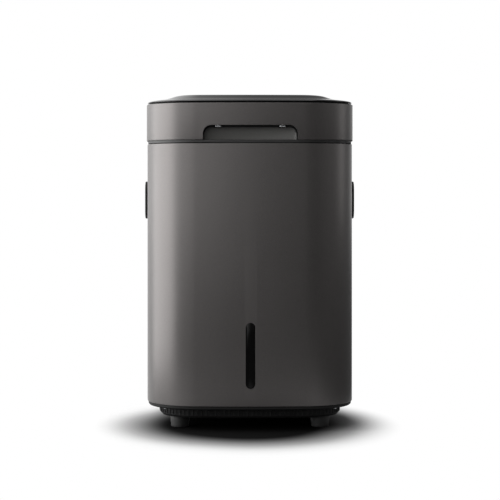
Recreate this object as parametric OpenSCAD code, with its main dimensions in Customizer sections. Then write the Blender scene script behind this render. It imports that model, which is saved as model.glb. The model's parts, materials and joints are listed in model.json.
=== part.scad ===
// Electric food waste composter: a painted cabinet with a hinged lid over a stirred, heated tub.
// Millimetres, +Z up, the front faces -Y, and the origin is on the table under the middle of the cabinet.

/* [Cabinet] */
// Width of the shell between its side faces
body_w = 300; // [292:1:308]
// Depth of the shell from front face to rear face
body_d = 320; // [314:1:334]
// Radius of the four upright corners
corner_r = 78; // [70:1:82]
// How far each face bows outward between its corners
face_bow = 3; // [1.5:0.5:4]
// Wall of the shell
shell_wall = 2.5; // [2:0.1:3]
// Height of the shell's lower edge above the table
shell_z = 35.5; // [34:0.5:38]
// Height of the shell itself
shell_h = 368; // [362:1:384]

/* [Base] */
// Height of the plinth's underside above the table
plinth_z = 17; // [14:0.5:19]
// How far the plinth's wall stands in from the shell
plinth_inset = 18; // [14:0.5:22]
// How far the base's rim stands in from the shell
rim_inset = 1.5; // [1:0.1:2.5]
// Height of the rim under the shell
rim_h = 5; // [4:0.5:6]
// Wall of the base moulding
base_wall = 2.5; // [2:0.1:3.5]
// Radius of a foot where it meets the plinth
foot_r = 14; // [12:0.5:16]
// Distance of each foot's middle in from the side faces
foot_in_x = 50; // [48:1:60]
// Distance of each foot's middle in from the front and rear faces
foot_in_y = 61; // [58:1:70]

/* [Lid] */
// Open seam between the shell and the lid
seam = 5; // [4.5:0.5:6]
// Height of the lid's skirt
skirt_h = 51.5; // [48:0.5:58]
// How far the skirt stands proud of the shell
lid_proud = 1; // [0.2:0.1:1.2]
// Wall of the skirt
lid_wall = 2.5; // [2:0.1:3]
// Rounding of the skirt's top edge
lid_edge_r = 1.5; // [1:0.5:3]
// Height of the raised panel above the skirt
panel_h = 14; // [12:0.5:16]
// How far the foot of the raised panel stands in from the shell's outline
panel_inset = 16; // [14:0.5:20]
// Width of the pull recess in the front of the skirt
pull_w = 133; // [110:1:140]
// Height of the pull recess
pull_h = 20.5; // [17:0.5:24]
// Depth of the pull recess
pull_d = 18; // [14:0.5:20]
// Radius of the pull recess's upper corners
pull_r = 12; // [8:0.5:14]

/* [Hinge] */
// Distance of the hinge axis in from the rear face
hinge_in = 12.5; // [12:0.5:13.5]
// Height of the hinge axis above the skirt's lower edge
hinge_up = 21.5; // [20:0.5:24]
// Distance between the middles of the two hinge ears
hinge_span = 100; // [80:1:104]
// Thickness of a hinge ear
ear_w = 10; // [8:0.5:12]
// Radius of the round head of an ear
ear_r = 7; // [6.5:0.1:7.5]
// Diameter of a hinge pin
hinge_pin_d = 6; // [5:0.5:7]

/* [Tub] */
// Room from the tub's inside to the shell's side face, for the bearings and gears
side_room = 48; // [47:1:52]
// What the tub's inside depth leaves of the cabinet's depth, for the fan and filter
rear_room = 120; // [118:1:128]
// Wall of the tub
tub_wall = 2.5; // [2:0.1:3]
// How far the tub's middle lies in front of the cabinet's middle
tub_forward = 32; // [30:0.5:34]
// Radius of the tub's upright corners
tub_corner_r = 18; // [12:1:24]
// Width of the flange round the tub's mouth
flange_w = 8; // [7:0.5:10]
// Height of the agitator shaft above the table
shaft_z = 160; // [156:1:168]

/* [Agitator] */
// Diameter of the agitator shaft
shaft_d = 15; // [12:0.5:16]
// Number of mixing arms along the shaft
arm_count = 5; // [3:1:6]
// Diameter of a mixing arm
arm_d = 10; // [8:0.5:11]
// Gap between the paddles and the tub's round bottom
paddle_gap = 6; // [4:0.5:10]
// Width of a paddle
paddle_w = 32; // [24:1:34]
// Height of a paddle, along its arm
paddle_h = 26; // [18:1:32]
// Thickness of a paddle
paddle_t = 4; // [3:0.5:5]
// Turn of a paddle about its arm, which pushes the compost sideways
paddle_turn = 25; // [10:1:35]

/* [Gears] */
// Module of the gear train
gear_module = 2; // [1.8:0.05:2.05]
// Teeth of the gear on the agitator shaft
drive_teeth = 66; // [60:1:67]
// Teeth of the idler
idler_teeth = 38; // [34:1:40]
// Teeth of the motor's pinion
pinion_teeth = 14; // [13:1:16]
// Width of the gears
gear_w = 8; // [6:0.5:9]
// Play between meshed teeth, along the pitch circle
backlash = 0.3; // [0.2:0.05:0.5]
// Direction from the agitator shaft to the idler, up from the rear
idler_dir = -10; // [-14:1:-6]
// Direction from the idler to the motor's pinion, up from the rear
pinion_dir = -70; // [-76:1:-66]
// Radius of the gearbox on the motor
gearbox_r = 27; // [24:0.5:28]
// Length of the gearbox
gearbox_l = 30; // [24:1:36]
// Length of the motor behind the gearbox
motor_l = 55; // [40:1:60]

/* [Bearings] */
// Outer diameter of a shaft bearing
bearing_d = 32; // [30:1:34]
// Width of a shaft bearing
bearing_w = 9; // [8:0.5:10]
// Wall of a bearing housing
housing_wall = 3; // [2.5:0.5:4]
// Outer diameter of a shaft seal
seal_d = 24; // [22:1:26]

/* [Filter and fan] */
// Width of the opening for the filter unit in the shell's rear
filter_w = 148; // [136:1:150]
// Height of the opening for the filter unit
filter_h = 112; // [100:1:114]
// Height of that opening's lower edge above the table
filter_z = 197; // [192:1:200]
// Depth of the filter frame
filter_d = 56; // [46:1:58]
// Gap round the rear cover in its opening
cover_gap = 0.6; // [0.5:0.1:1]
// Number of louvres in the rear cover
louvre_count = 9; // [7:1:10]
// Number of pleats in the carbon pack
pleat_count = 14; // [10:1:18]
// Outer size of the square fan
fan_size = 60; // [56:1:62]
// Height of the fan
fan_h = 15; // [12:0.5:18]
// Number of fan blades
blade_count = 7; // [5:1:9]

/* [Window and grips] */
// Width of the capsule window
window_w = 13.2; // [11:0.1:16]
// Height of the capsule window
window_h = 92; // [80:1:100]
// Height of the window's lower end above the table
window_z = 60.6; // [56:0.1:70]
// Height of a side grip
grip_h = 54; // [48:1:60]
// Length of a side grip, front to rear
grip_l = 112; // [96:1:120]
// Height of a side grip's lower edge above the table
grip_z = 296; // [290:1:300]
// How far a grip's rim stands proud of the shell
grip_proud = 2.2; // [1.5:0.1:2.8]
// Depth of the hollow in a grip, from the shell's side
grip_depth = 24; // [18:0.5:26]

/* [Hidden] */

// Clearances
fit = 0.3;        // between pieces that stand side by side
run = 0.05;       // radial, between a shaft and its bore
over = 1;         // how far a cut runs past a face

// Outline of the cabinet: bowed faces tangent to round corners
half_w = body_w / 2;
half_d = body_d / 2;
corner_x = half_w - corner_r - face_bow;
corner_y = half_d - corner_r - face_bow;
front_r = corner_r + (corner_x * corner_x + face_bow * face_bow) / (2 * face_bow);
side_r = corner_r + (corner_y * corner_y + face_bow * face_bow) / (2 * face_bow);
front_a = asin(corner_x / (front_r - corner_r));
side_a = asin(corner_y / (side_r - corner_r));
bow_steps = 3;
corner_steps = 14;

// A quarter of the outline, set in by g, from the right side round to the rear
function quarter(g) = concat(
    [for (i = [0 : bow_steps - 1]) let (a = side_a * i / bow_steps)
        [half_w - side_r + (side_r - g) * cos(a), (side_r - g) * sin(a)]],
    [for (i = [0 : corner_steps]) let (a = side_a + (90 - front_a - side_a) * i / corner_steps)
        [corner_x + (corner_r - g) * cos(a), corner_y + (corner_r - g) * sin(a)]],
    [for (i = [1 : bow_steps]) let (a = 90 - front_a * (1 - i / bow_steps))
        [(front_r - g) * cos(a), half_d - front_r + (front_r - g) * sin(a)]]);

// The whole outline, set in by g
function outline(g) = let (q = quarter(g), n = len(q)) concat(q,
    [for (i = [n - 2 : -1 : 0]) [-q[i].x, q[i].y]],
    [for (i = [1 : n - 1]) [-q[i].x, -q[i].y]],
    [for (i = [n - 2 : -1 : 1]) [q[i].x, -q[i].y]]);

// Distance of the front or rear face from the middle plane at x, set in by g
function face_at(x, g) = half_d - front_r + sqrt(pow(front_r - g, 2) - x * x);

// Points of a rectangle with round corners
function round_rect(w, d, r, steps = 6) = [for (c = [0 : 3]) for (i = [0 : steps])
    let (a = 90 * (c + i / steps))
    [(w / 2 - r) * (c == 0 || c == 3 ? 1 : -1) + r * cos(a), (d / 2 - r) * (c < 2 ? 1 : -1) + r * sin(a)]];

// A prism of the outline, set in by g, from z over height h
module prism(g, z, h) translate([0, 0, z]) linear_extrude(h) polygon(outline(g));

// A closed wall round the cabinet: the section's points are [set in, height], in order round the wall
module ring_wall(section) {
    m = len(section);
    n = len(outline(0));
    polyhedron(
        [for (s = section) for (p = outline(s[0])) [p.x, p.y, s[1]]],
        [for (k = [0 : m - 1]) for (j = [0 : n - 1])
            let (a = k * n, b = (k + 1) % m * n, j2 = (j + 1) % n) [a + j, b + j, b + j2, a + j2]]);
}

// A solid of stacked outlines: the levels are [set in, height] from the bottom up
module stack(levels) {
    m = len(levels);
    n = len(outline(0));
    polyhedron(
        [for (s = levels) for (p = outline(s[0])) [p.x, p.y, s[1]]],
        concat([[for (j = [0 : n - 1]) j]], [[for (j = [n - 1 : -1 : 0]) (m - 1) * n + j]],
        [for (k = [0 : m - 2]) for (j = [0 : n - 1])
            let (a = k * n, b = (k + 1) * n, j2 = (j + 1) % n) [a + j, b + j, b + j2, a + j2]]));
}

// A block from corner a to corner b
module block(a, b) translate(a) cube(b - a);

// A cylinder along X from x0 to x1, round the point [y, z]
module rod_x(at, r, x0, x1) translate([x0, at[0], at[1]]) rotate([0, 90, 0]) cylinder(h = x1 - x0, r = r, $fn = 48);

// The same along Y, round the point [x, z]
module rod_y(at, r, y0, y1) translate([at[0], y1, at[1]]) rotate([90, 0, 0]) cylinder(h = y1 - y0, r = r, $fn = 48);

// The same along Z, round the point [x, y]
module rod_z(at, r, z0, z1) translate([at[0], at[1], z0]) cylinder(h = z1 - z0, r = r, $fn = 48);

// Both sides of the cabinet
module both_sides() {
    children();
    mirror([1, 0, 0]) children();
}

// Heights
shell_top = shell_z + shell_h;
skirt_z = shell_top + seam;
skirt_top = skirt_z + skirt_h;
tray_z = plinth_z + base_wall;          // floor inside the base
rim_z = shell_z - rim_h;
flange_t = 2.5;
tub_top = shell_top - 1;
deck_t = 3;
deck_z = tub_top - flange_t - deck_t;   // underside of the deck
liner_z = skirt_z - 2.7;                // underside of the liner's flange, which shows in the seam
liner_t = 2.2;

// Tub
tub_w = body_w - 2 * side_room;         // inside, along the agitator shaft
tub_d = body_d - rear_room;             // twice the radius of the round bottom
tub_y = -tub_forward;
tub_r = tub_d / 2;
tub_out_x = tub_w / 2 + tub_wall;
tub_out_y = tub_r + tub_wall;
crease = 0.3;                           // the round bottom is this much wider than the upright walls
mouth_w = tub_w + 2 * tub_wall;
mouth_d = tub_d + 2 * tub_wall;

// Screw bosses of the shell, one in each corner
boss_r = 5.5;
boss_bore = 1.6;
boss_k = (corner_r - shell_wall - boss_r + 1) * sqrt(0.5);
boss_x = corner_x + boss_k;
boss_y = corner_y + boss_k;
boss_h = 24;
screw_r = 1.55;
head_r = 3.2;
head_h = 2.2;

// Feet
foot_taper = 1.6;
foot_x = half_w - foot_in_x;
foot_y = half_d - foot_in_y;
foot_places = [[-foot_x, -foot_y], [foot_x, -foot_y], [-foot_x, foot_y], [foot_x, foot_y]];

// Hinge
hinge_y = half_d - hinge_in;
hinge_z = skirt_z + hinge_up;
ear_gap = 1;
lug_t = 3;
pin_r = hinge_pin_d / 2;
ear_x = hinge_span / 2;
lug_in = ear_w / 2 + ear_gap;

// Bearings and seals
bearing_r = bearing_d / 2;
housing_r = bearing_r + housing_wall;
housing_flange_r = housing_r + 9;
housing_flange_t = 3;
housing_l = bearing_w + 5;
housing_end = tub_out_x + housing_l;
seal_r = seal_d / 2;
seal_w = 4;
shaft_r = shaft_d / 2;
shaft_at = [tub_y, shaft_z];

// Gear train
pressure = 20;
mesh_gap = 0.1;
drive_pitch = gear_module * drive_teeth / 2;
idler_pitch = gear_module * idler_teeth / 2;
pinion_pitch = gear_module * pinion_teeth / 2;
idler_at = shaft_at + (drive_pitch + idler_pitch + mesh_gap) * [cos(idler_dir), sin(idler_dir)];
pinion_at = idler_at + (idler_pitch + pinion_pitch + mesh_gap) * [cos(pinion_dir), sin(pinion_dir)];
drive_phase = 0;
idler_phase = idler_dir + 180 + 180 / idler_teeth + (idler_dir - drive_phase) * drive_teeth / idler_teeth;
pinion_phase = pinion_dir + 180 + 180 / pinion_teeth
    + (pinion_dir - idler_phase) * idler_teeth / pinion_teeth;
plate_x = housing_end - 7.5;            // inner face of the gear plate
plate_t = 3;
gear_x = housing_end + 2;
idler_r = 4;
motor_shaft_r = 4;
gearbox_screws = 4;
gearbox_screw_r = gearbox_r - 5;

// Agitator
tip_r = tub_r - paddle_gap;
hub_r = shaft_r + 5;
hub_w = 20;
arm_pitch = (tub_w - paddle_w - 12) / (arm_count - 1);
shaft_left = -tub_out_x - housing_l + housing_wall + 0.5;
shaft_right = gear_x + gear_w + 5;
clip_x = gear_x + gear_w + 1.5;

// Filter bay, fan and duct
bay_wall = 2;
bay_front = tub_y + tub_out_y + 14;
bay_top = filter_z + filter_h + bay_wall;
frame_gap = 0.6;
frame_w = filter_w - 2 * frame_gap;
frame_front = half_d - shell_wall - filter_d - 8;
frame_rear = frame_front + filter_d;
frame_wall = 3;
fan_y = (bay_front + half_d - 6) / 2;
fan_z = bay_top;
fan_r = fan_size / 2 - 3;
fan_hub_r = 11;
fan_pin_r = 1.5;
duct_wall = 2;
duct_top = fan_z + fan_h + 48;
duct_x = fan_size / 2 + duct_wall;
duct_rear = fan_y + fan_size / 2;
port_h = 30;
port_z = duct_top - port_h - 6;

// Boards
board_t = 1.6;
post_r = 3.5;

// Window and sensor board behind it
window_front = face_at(0, 0);
lens_t = 4;
lens_lip = 3;

// Inlet
inlet_x = -60;
inlet_z = 76;
inlet_w = 48;
inlet_h = 28;

/* The cabinet */

// Screw boss with its bore, joined to the shell's wall in the front left corner
module shell_boss(z) {
    difference() {
        translate([-boss_x, -boss_y, z]) cylinder(h = boss_h, r = boss_r, $fn = 32);
        translate([-boss_x, -boss_y, z - over]) cylinder(h = boss_h + 2 * over, r = boss_bore, $fn = 24);
    }
}

// The same thing at all four corners
module at_corners() for (mx = [0, 1]) for (my = [0, 1]) mirror([mx, 0, 0]) mirror([0, my, 0]) children();

// Outline of the window, a capsule grown by g
module capsule(g) {
    r = window_w / 2;
    translate([0, window_z + r]) circle(r = r + g, $fn = 64);
    translate([0, window_z + window_h - r]) circle(r = r + g, $fn = 64);
    translate([-r - g, window_z + r]) square([2 * (r + g), window_h - window_w]);
}

// A shape drawn in X and Z, given thickness from y0 to y1
module upright(y0, y1) translate([0, y1, 0]) rotate([90, 0, 0]) linear_extrude(y1 - y0) children();

// A shape drawn in Y and Z, given thickness from x0 to x1
module sideways(x0, x1) translate([x0, 0, 0]) rotate([90, 0, 90]) linear_extrude(x1 - x0) children();

// Outline of a grip in Y and Z, grown by g
module grip_shape(g) translate([0, grip_z + grip_h / 2])
    polygon(round_rect(grip_l + 2 * g, grip_h + 2 * g, 14 + g));

grip_lip = 5;
module grip_opening() sideways(half_w - 12, half_w + 12) grip_shape(-grip_lip + fit);

module outer_shell() color([0.30, 0.29, 0.28]) difference() {
    union() {
        difference() {
            prism(0, shell_z, shell_h);
            prism(shell_wall, shell_z - over, shell_h + 2 * over);
        }
        at_corners() shell_boss(shell_z);
        at_corners() shell_boss(deck_z - boss_h);
        intersection() {
            for (at = control_posts) rod_x(at, post_r, -half_w, -board_x - board_t);
            prism(shell_wall / 2, shell_z, shell_h);
        }
    }
    upright(-half_d - over, -half_d + 8) capsule(0.15);
    both_sides() grip_opening();
    block([-filter_w / 2, half_d - 12, filter_z], [filter_w / 2, half_d + over, filter_z + filter_h]);
    block([inlet_x - inlet_w / 2 + 6, half_d - 12, inlet_z - inlet_h / 2 + 3],
        [inlet_x + inlet_w / 2 - 6, half_d + over, inlet_z + inlet_h / 2 - 3]);
}

// Section of the base's side: rim, sloping step and plinth wall, outside then inside
step_h = rim_z - plinth_z;
base_section = [
    [rim_inset, shell_z], [rim_inset, rim_z + 2], [rim_inset + 0.6, rim_z + 0.6], [rim_inset + 2, rim_z],
    [plinth_inset - 1, rim_z - 1], [plinth_inset, rim_z - 2.5], [plinth_inset + 0.5, plinth_z + 3],
    [plinth_inset + 1.3, plinth_z + 1], [plinth_inset + 3.2, plinth_z]];
vent_count = 12;
vent_pitch = 8;
vent_w = 3.5;
vent_l = 46;
rib_h = 5;
lug_x = 57;                             // round lugs on the plinth's front
lug_z = plinth_z + 8.5;
lug_r = 2.4;
lug_front = plinth_inset - face_at(lug_x, 0) - 0.8;

module base_tray() color([0.10, 0.10, 0.10]) {
    difference() {
        union() {
            difference() {
                stack([for (i = [len(base_section) - 1 : -1 : 0]) base_section[i]]);
                prism(plinth_inset + base_wall + 1, tray_z, shell_h);
                prism(rim_inset + base_wall, rim_z + base_wall, shell_h);
            }
            for (x = [-60 : 40 : 60]) block([x - 1.2, -110, tray_z], [x + 1.2, 110, tray_z + rib_h]);
            for (at = foot_places) rod_z(at, 8, tray_z, tray_z + 8);
            at_corners() rod_z([-boss_x, -boss_y], boss_r, rim_z + 1, shell_z);
            for (at = power_posts) rod_z(at, post_r, tray_z, power_z);
            for (x = [-lug_x, lug_x]) rod_y([x, lug_z], lug_r, lug_front, lug_front + 4);
        }
        for (at = foot_places) rod_z(at, 2, plinth_z - over, tray_z + 8 + over);
        at_corners() rod_z([-boss_x, -boss_y], screw_r + 0.25, rim_z - 4, shell_z + over);
        at_corners() rod_z([-boss_x, -boss_y], head_r + fit, rim_z - 4, rim_z + 1);
        for (i = [0 : vent_count - 1])
            translate([(i - (vent_count - 1) / 2) * vent_pitch - vent_w / 2, -vent_l / 2, plinth_z - over])
                cube([vent_w, vent_l, base_wall + rib_h + 2 * over]);
    }
}

// A rubber foot: tapered, with a soft lower edge and a pocket for its screw
module foot(at) color([0.07, 0.07, 0.07]) translate([at[0], at[1], 0]) rotate_extrude($fn = 64) polygon([
    [5, 0], [foot_r - foot_taper - 2, 0], [foot_r - foot_taper - 0.6, 0.6], [foot_r - foot_taper, 2],
    [foot_r, plinth_z], [2.2, plinth_z], [2.2, 5], [5, 5]]);
module front_left_foot() foot(foot_places[0]);
module front_right_foot() foot(foot_places[1]);
module rear_left_foot() foot(foot_places[2]);
module rear_right_foot() foot(foot_places[3]);

foot_head_r = 4.2;
module base_screws() color([0.55, 0.55, 0.57]) {
    at_corners() {
        rod_z([-boss_x, -boss_y], screw_r, rim_z, shell_z + 14);
        rod_z([-boss_x, -boss_y], head_r, rim_z + 1 - head_h, rim_z + 1);
    }
    for (at = foot_places) {
        rod_z(at, 1.9, 4.9, tray_z + 7);
        rod_z(at, foot_head_r, 2.4, 5);
    }
}

// The deck: a plate inside the shell's top, with a skirt, the tub's mouth and the hinge ears
module mouth_shape(g) translate([0, tub_y]) polygon(round_rect(mouth_w + 2 * g, mouth_d + 2 * g, tub_corner_r + g));

ear_foot = 2 * ear_r;
module ear() {
    difference() {
        union() {
            rod_x([hinge_y, hinge_z], ear_r, -ear_w / 2, ear_w / 2);
            block([-ear_w / 2, hinge_y - ear_r, deck_z + 1], [ear_w / 2, hinge_y + ear_r, hinge_z]);
        }
        rod_x([hinge_y, hinge_z], pin_r + run, -ear_w, ear_w);
    }
}
ear_rib_h = 10;
module top_deck() color([0.09, 0.09, 0.09]) {
    difference() {
        union() {
            difference() {
                prism(shell_wall + fit, deck_z - 10, deck_t + 10);
                prism(shell_wall + fit + 2, deck_z - 10 - over, 10 + over);
            }
            for (x = [-ear_x, ear_x]) translate([x, 0, 0]) {
                ear();
                block([-1.5, hinge_y - ear_r - 14, deck_z + deck_t - 0.5],
                    [1.5, hinge_y, deck_z + deck_t + 4]);
            }
        }
        translate([0, 0, deck_z - over]) linear_extrude(deck_t + 2 * over) mouth_shape(fit);
        at_corners() rod_z([-boss_x, -boss_y], screw_r + 0.25, deck_z - over, deck_z + deck_t + over);
        at_corners() rod_z([-boss_x, -boss_y], boss_r + fit, deck_z - 12, deck_z);
    }
}

module deck_screws() color([0.55, 0.55, 0.57]) at_corners() {
    rod_z([-boss_x, -boss_y], screw_r, deck_z - 14, deck_z + deck_t);
    rod_z([-boss_x, -boss_y], head_r, deck_z + deck_t, deck_z + deck_t + head_h);
}

/* The tub */

// A trough with a round bottom along X; r is its radius and w its width
module trough(w, d, r, corner, top) intersection() {
    translate([0, tub_y, shaft_z - r - crease - over]) linear_extrude(top - shaft_z + r + crease + over)
        polygon(round_rect(w, d, corner));
    union() {
        rod_x(shaft_at, r + crease, -w, w);
        block([-w, tub_y - r - crease - over, shaft_z], [w, tub_y + r + crease + over, top + over]);
    }
}

port_slots = 5;
module tub() color([0.20, 0.20, 0.21]) difference() {
    union() {
        trough(mouth_w, mouth_d, tub_out_y, tub_corner_r, tub_top);
        translate([0, 0, tub_top - flange_t]) linear_extrude(flange_t) mouth_shape(flange_w);
    }
    trough(tub_w, tub_d, tub_r, tub_corner_r - tub_wall, tub_top + over);
    rod_x(shaft_at, seal_r, -tub_out_x - over, tub_out_x + over);
    for (i = [0 : port_slots - 1])
        block([-22, tub_y + tub_r - over, port_z + i * port_h / port_slots],
            [22, tub_y + tub_out_y + over, port_z + (i + 0.6) * port_h / port_slots]);
    rod_y([sensor_x, sensor_z], 5, tub_y + tub_r - over, tub_y + tub_out_y + over);
}

pad_t = 1.5;
pad_w = 160;
module heater_pad() color([0.75, 0.40, 0.15]) difference() {
    rod_x(shaft_at, tub_out_y + crease + 0.1 + pad_t, -pad_w / 2, pad_w / 2);
    rod_x(shaft_at, tub_out_y + crease + 0.1, -pad_w / 2 - over, pad_w / 2 + over);
    block([-pad_w, tub_y - 200, shaft_z - 30], [pad_w, tub_y + 200, shaft_z + 200]);
}

sensor_x = 62;
sensor_z = 300;
module humidity_sensor() color([0.85, 0.85, 0.82]) {
    rod_y([sensor_x, sensor_z], 4.9, tub_y + tub_r, tub_y + tub_out_y);
    rod_y([sensor_x, sensor_z], 9, tub_y + tub_out_y, tub_y + tub_out_y + 6);
    rod_y([sensor_x, sensor_z], 3, tub_y + tub_out_y + 5, tub_y + tub_out_y + 11);
}

/* Bearings, seals and the gear train */

// A flanged bearing housing on the right end of the tub; its own end is open for the shaft
module bearing_housing(end_bore) difference() {
    union() {
        rod_x(shaft_at, housing_flange_r, tub_out_x, tub_out_x + housing_flange_t);
        rod_x(shaft_at, housing_r, tub_out_x, housing_end);
    }
    rod_x(shaft_at, bearing_r, tub_out_x + 2, tub_out_x + 2 + bearing_w);
    rod_x(shaft_at, shaft_r + 2, tub_out_x - over, tub_out_x + housing_l - 2);
    if (end_bore) rod_x(shaft_at, shaft_r + 2, tub_out_x, housing_end + over);
    for (i = [0 : 3]) let (a = 45 + 90 * i)
        rod_x(shaft_at + (housing_r + 4.5) * [cos(a), sin(a)], 1.7, tub_out_x - over, tub_out_x + 5);
}
module right_bearing_housing() color("silver") bearing_housing(true);
module left_bearing_housing() color("silver") mirror([1, 0, 0]) bearing_housing(false);

// A ball bearing: two rings and a row of balls
ball_count = 9;
module bearing() {
    x0 = tub_out_x + 2;
    mid = (shaft_r + bearing_r) / 2;
    ring_t = (bearing_r - shaft_r) * 0.28;
    difference() {
        rod_x(shaft_at, bearing_r - 0.02, x0, x0 + bearing_w);
        rod_x(shaft_at, bearing_r - ring_t, x0 - over, x0 + bearing_w + over);
    }
    difference() {
        rod_x(shaft_at, shaft_r + ring_t, x0, x0 + bearing_w);
        rod_x(shaft_at, shaft_r + run, x0 - over, x0 + bearing_w + over);
    }
    for (i = [0 : ball_count - 1]) let (a = 360 * i / ball_count)
        translate([x0 + bearing_w / 2, shaft_at[0] + mid * cos(a), shaft_at[1] + mid * sin(a)])
            sphere(r = (bearing_r - shaft_r) / 2 - ring_t - 0.02, $fn = 24);
}
module right_bearing() color([0.75, 0.76, 0.78]) bearing();
module left_bearing() color([0.75, 0.76, 0.78]) mirror([1, 0, 0]) bearing();

// A lip seal in the tub's end wall
module shaft_seal() difference() {
    rod_x(shaft_at, seal_r - 0.05, tub_out_x - 0.1 - seal_w, tub_out_x - 0.1);
    rod_x(shaft_at, shaft_r + run, tub_w / 2 - 5, tub_w / 2 + 10);
}
module right_shaft_seal() color([0.08, 0.08, 0.08]) shaft_seal();
module left_shaft_seal() color([0.08, 0.08, 0.08]) mirror([1, 0, 0]) shaft_seal();

// Involute tooth: angle of the flank at radius r, from the middle of the tooth
function involute(r, base) = let (c = base / r) tan(acos(c)) * 180 / PI - acos(c);
function flank(r, teeth) = let (pitch = gear_module * teeth / 2, base = pitch * cos(pressure))
    90 / teeth - backlash / 2 / pitch * 90 / PI * 2
    + involute(pitch, base) - involute(max(r, base), base);
flank_steps = 3;
function tooth_radii(teeth) = let (pitch = gear_module * teeth / 2, root = pitch - 1.2 * gear_module,
    tip = pitch + 0.95 * gear_module)
    concat([root], [for (i = [0 : flank_steps]) let (b = max(root + 0.1, pitch * cos(pressure)))
        b + (tip - b) * i / flank_steps]);
function gear_points(teeth, phase) = let (radii = tooth_radii(teeth), n = len(radii))
    [for (t = [0 : teeth - 1]) let (mid = phase + 360 * t / teeth)
        for (s = [-1, 1]) for (k = [0 : n - 1])
            let (r = radii[s < 0 ? k : n - 1 - k], a = mid + s * flank(r, teeth)) r * [cos(a), sin(a)]];

// A toothed wheel on the point [y, z], with a bore and round lightening holes
module gear(teeth, phase, at, bore_r, web_holes, web_r, hole_r) sideways(gear_x, gear_x + gear_w)
    translate(at) difference() {
        polygon(gear_points(teeth, phase));
        circle(r = bore_r, $fn = 48);
        for (i = [0 : 1 : web_holes - 1]) rotate(360 * (i + 0.5) / web_holes) translate([web_r, 0])
            circle(r = hole_r, $fn = 32);
    }

module drive_gear() color([0.88, 0.86, 0.78]) {
    gear(drive_teeth, drive_phase, shaft_at, shaft_r + 0.02, 6, drive_pitch * 0.58, drive_pitch * 0.2);
    difference() {
        rod_x(shaft_at, shaft_r + 5, gear_x - 1, gear_x + 0.01);
        rod_x(shaft_at, shaft_r + 0.02, gear_x - 2, gear_x + over);
    }
}
module idler_gear() color([0.88, 0.86, 0.78])
    gear(idler_teeth, idler_phase, idler_at, idler_r + run, 5, idler_pitch * 0.58, idler_pitch * 0.17);
module motor_pinion() color([0.70, 0.62, 0.36]) {
    gear(pinion_teeth, pinion_phase, pinion_at, 0.5, 0, 0, 0);
    rod_x(pinion_at, motor_shaft_r, plate_x - 12, gear_x);
}

// The steel plate that carries the motor and the idler, clamped round the bearing housing
module link(a, b, r) {
    l = norm(b - a);
    translate(a) rotate(atan2(b[1] - a[1], b[0] - a[0])) translate([0, -r]) square([l, 2 * r]);
}
plate_r = 28;
spacer_at = [shaft_at + [-20, 26], shaft_at + [40, 34], shaft_at + [36, -40]];
module gear_plate() color([0.62, 0.63, 0.65]) {
    difference() {
        sideways(plate_x, plate_x + plate_t) union() {
            translate(shaft_at) circle(r = housing_r + 16, $fn = 64);
            translate(idler_at) circle(r = plate_r - 6, $fn = 64);
            translate(pinion_at) circle(r = gearbox_r + 2, $fn = 64);
            link(shaft_at, idler_at, plate_r - 10);
            link(shaft_at, pinion_at, plate_r - 4);
            link(idler_at, pinion_at, plate_r - 8);
        }
        rod_x(shaft_at, housing_r + fit, plate_x - over, plate_x + 10);
        rod_x(idler_at, idler_r, plate_x - over, plate_x + 10);
        rod_x(pinion_at, motor_shaft_r + 4, plate_x - over, plate_x + 10);
        gearbox_screw_holes(1.75);
    }
    for (at = spacer_at) rod_x(at, 4, tub_out_x, plate_x);
}
module gearbox_screw_holes(r) for (i = [0 : gearbox_screws - 1]) let (a = 45 + 360 * i / gearbox_screws)
    rod_x(pinion_at + gearbox_screw_r * [cos(a), sin(a)], r, plate_x - 8, plate_x + 6);

module gear_motor() color([0.35, 0.36, 0.38]) difference() {
    union() {
        rod_x(pinion_at, gearbox_r, plate_x - gearbox_l, plate_x);
        rod_x(pinion_at, gearbox_r - 4, plate_x - gearbox_l - motor_l, plate_x - gearbox_l);
        rod_x(pinion_at, 6, plate_x - gearbox_l - motor_l - 4, plate_x - gearbox_l - motor_l);
        for (s = [-1, 1]) block([plate_x - gearbox_l - motor_l - 8, pinion_at[0] + s * 12 - 2, pinion_at[1] - 1],
            [plate_x - gearbox_l - motor_l + 1, pinion_at[0] + s * 12 + 2, pinion_at[1] + 1]);
    }
    rod_x(pinion_at, motor_shaft_r + run, plate_x - 13, plate_x + over);
    gearbox_screw_holes(1.5);
}
module motor_screws() color([0.70, 0.70, 0.72]) for (i = [0 : gearbox_screws - 1])
    let (a = 45 + 360 * i / gearbox_screws, at = pinion_at + gearbox_screw_r * [cos(a), sin(a)]) {
        rod_x(at, 1.45, plate_x - 7, plate_x + plate_t);
        rod_x(at, 3, plate_x + plate_t, plate_x + plate_t + 2);
    }

module idler_axle() color([0.75, 0.76, 0.78]) {
    rod_x(idler_at, idler_r, plate_x, gear_x + gear_w + 0.6);
    rod_x(idler_at, idler_r + 3, gear_x + gear_w + 0.4, gear_x + gear_w + 2);
    difference() {
        rod_x(idler_at, idler_r + 3, plate_x + plate_t, gear_x - 0.4);
        rod_x(idler_at, idler_r - 0.5, plate_x, gear_x + over);
    }
}

/* The agitator */

module agitator_shaft() color([0.78, 0.79, 0.80]) difference() {
    rod_x(shaft_at, shaft_r, shaft_left, shaft_right);
    difference() {
        rod_x(shaft_at, shaft_r + 2, clip_x, clip_x + 1.2);
        rod_x(shaft_at, shaft_r - 1, clip_x - over, clip_x + 2);
    }
}
module shaft_clip() color([0.45, 0.45, 0.47]) difference() {
    rod_x(shaft_at, shaft_r + 3, clip_x + 0.1, clip_x + 1.1);
    rod_x(shaft_at, shaft_r - 0.9, clip_x - over, clip_x + 2);
    block([clip_x - over, shaft_at[0] - 3, shaft_at[1] - 20], [clip_x + 2, shaft_at[0] + 3, shaft_at[1]]);
}

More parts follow.
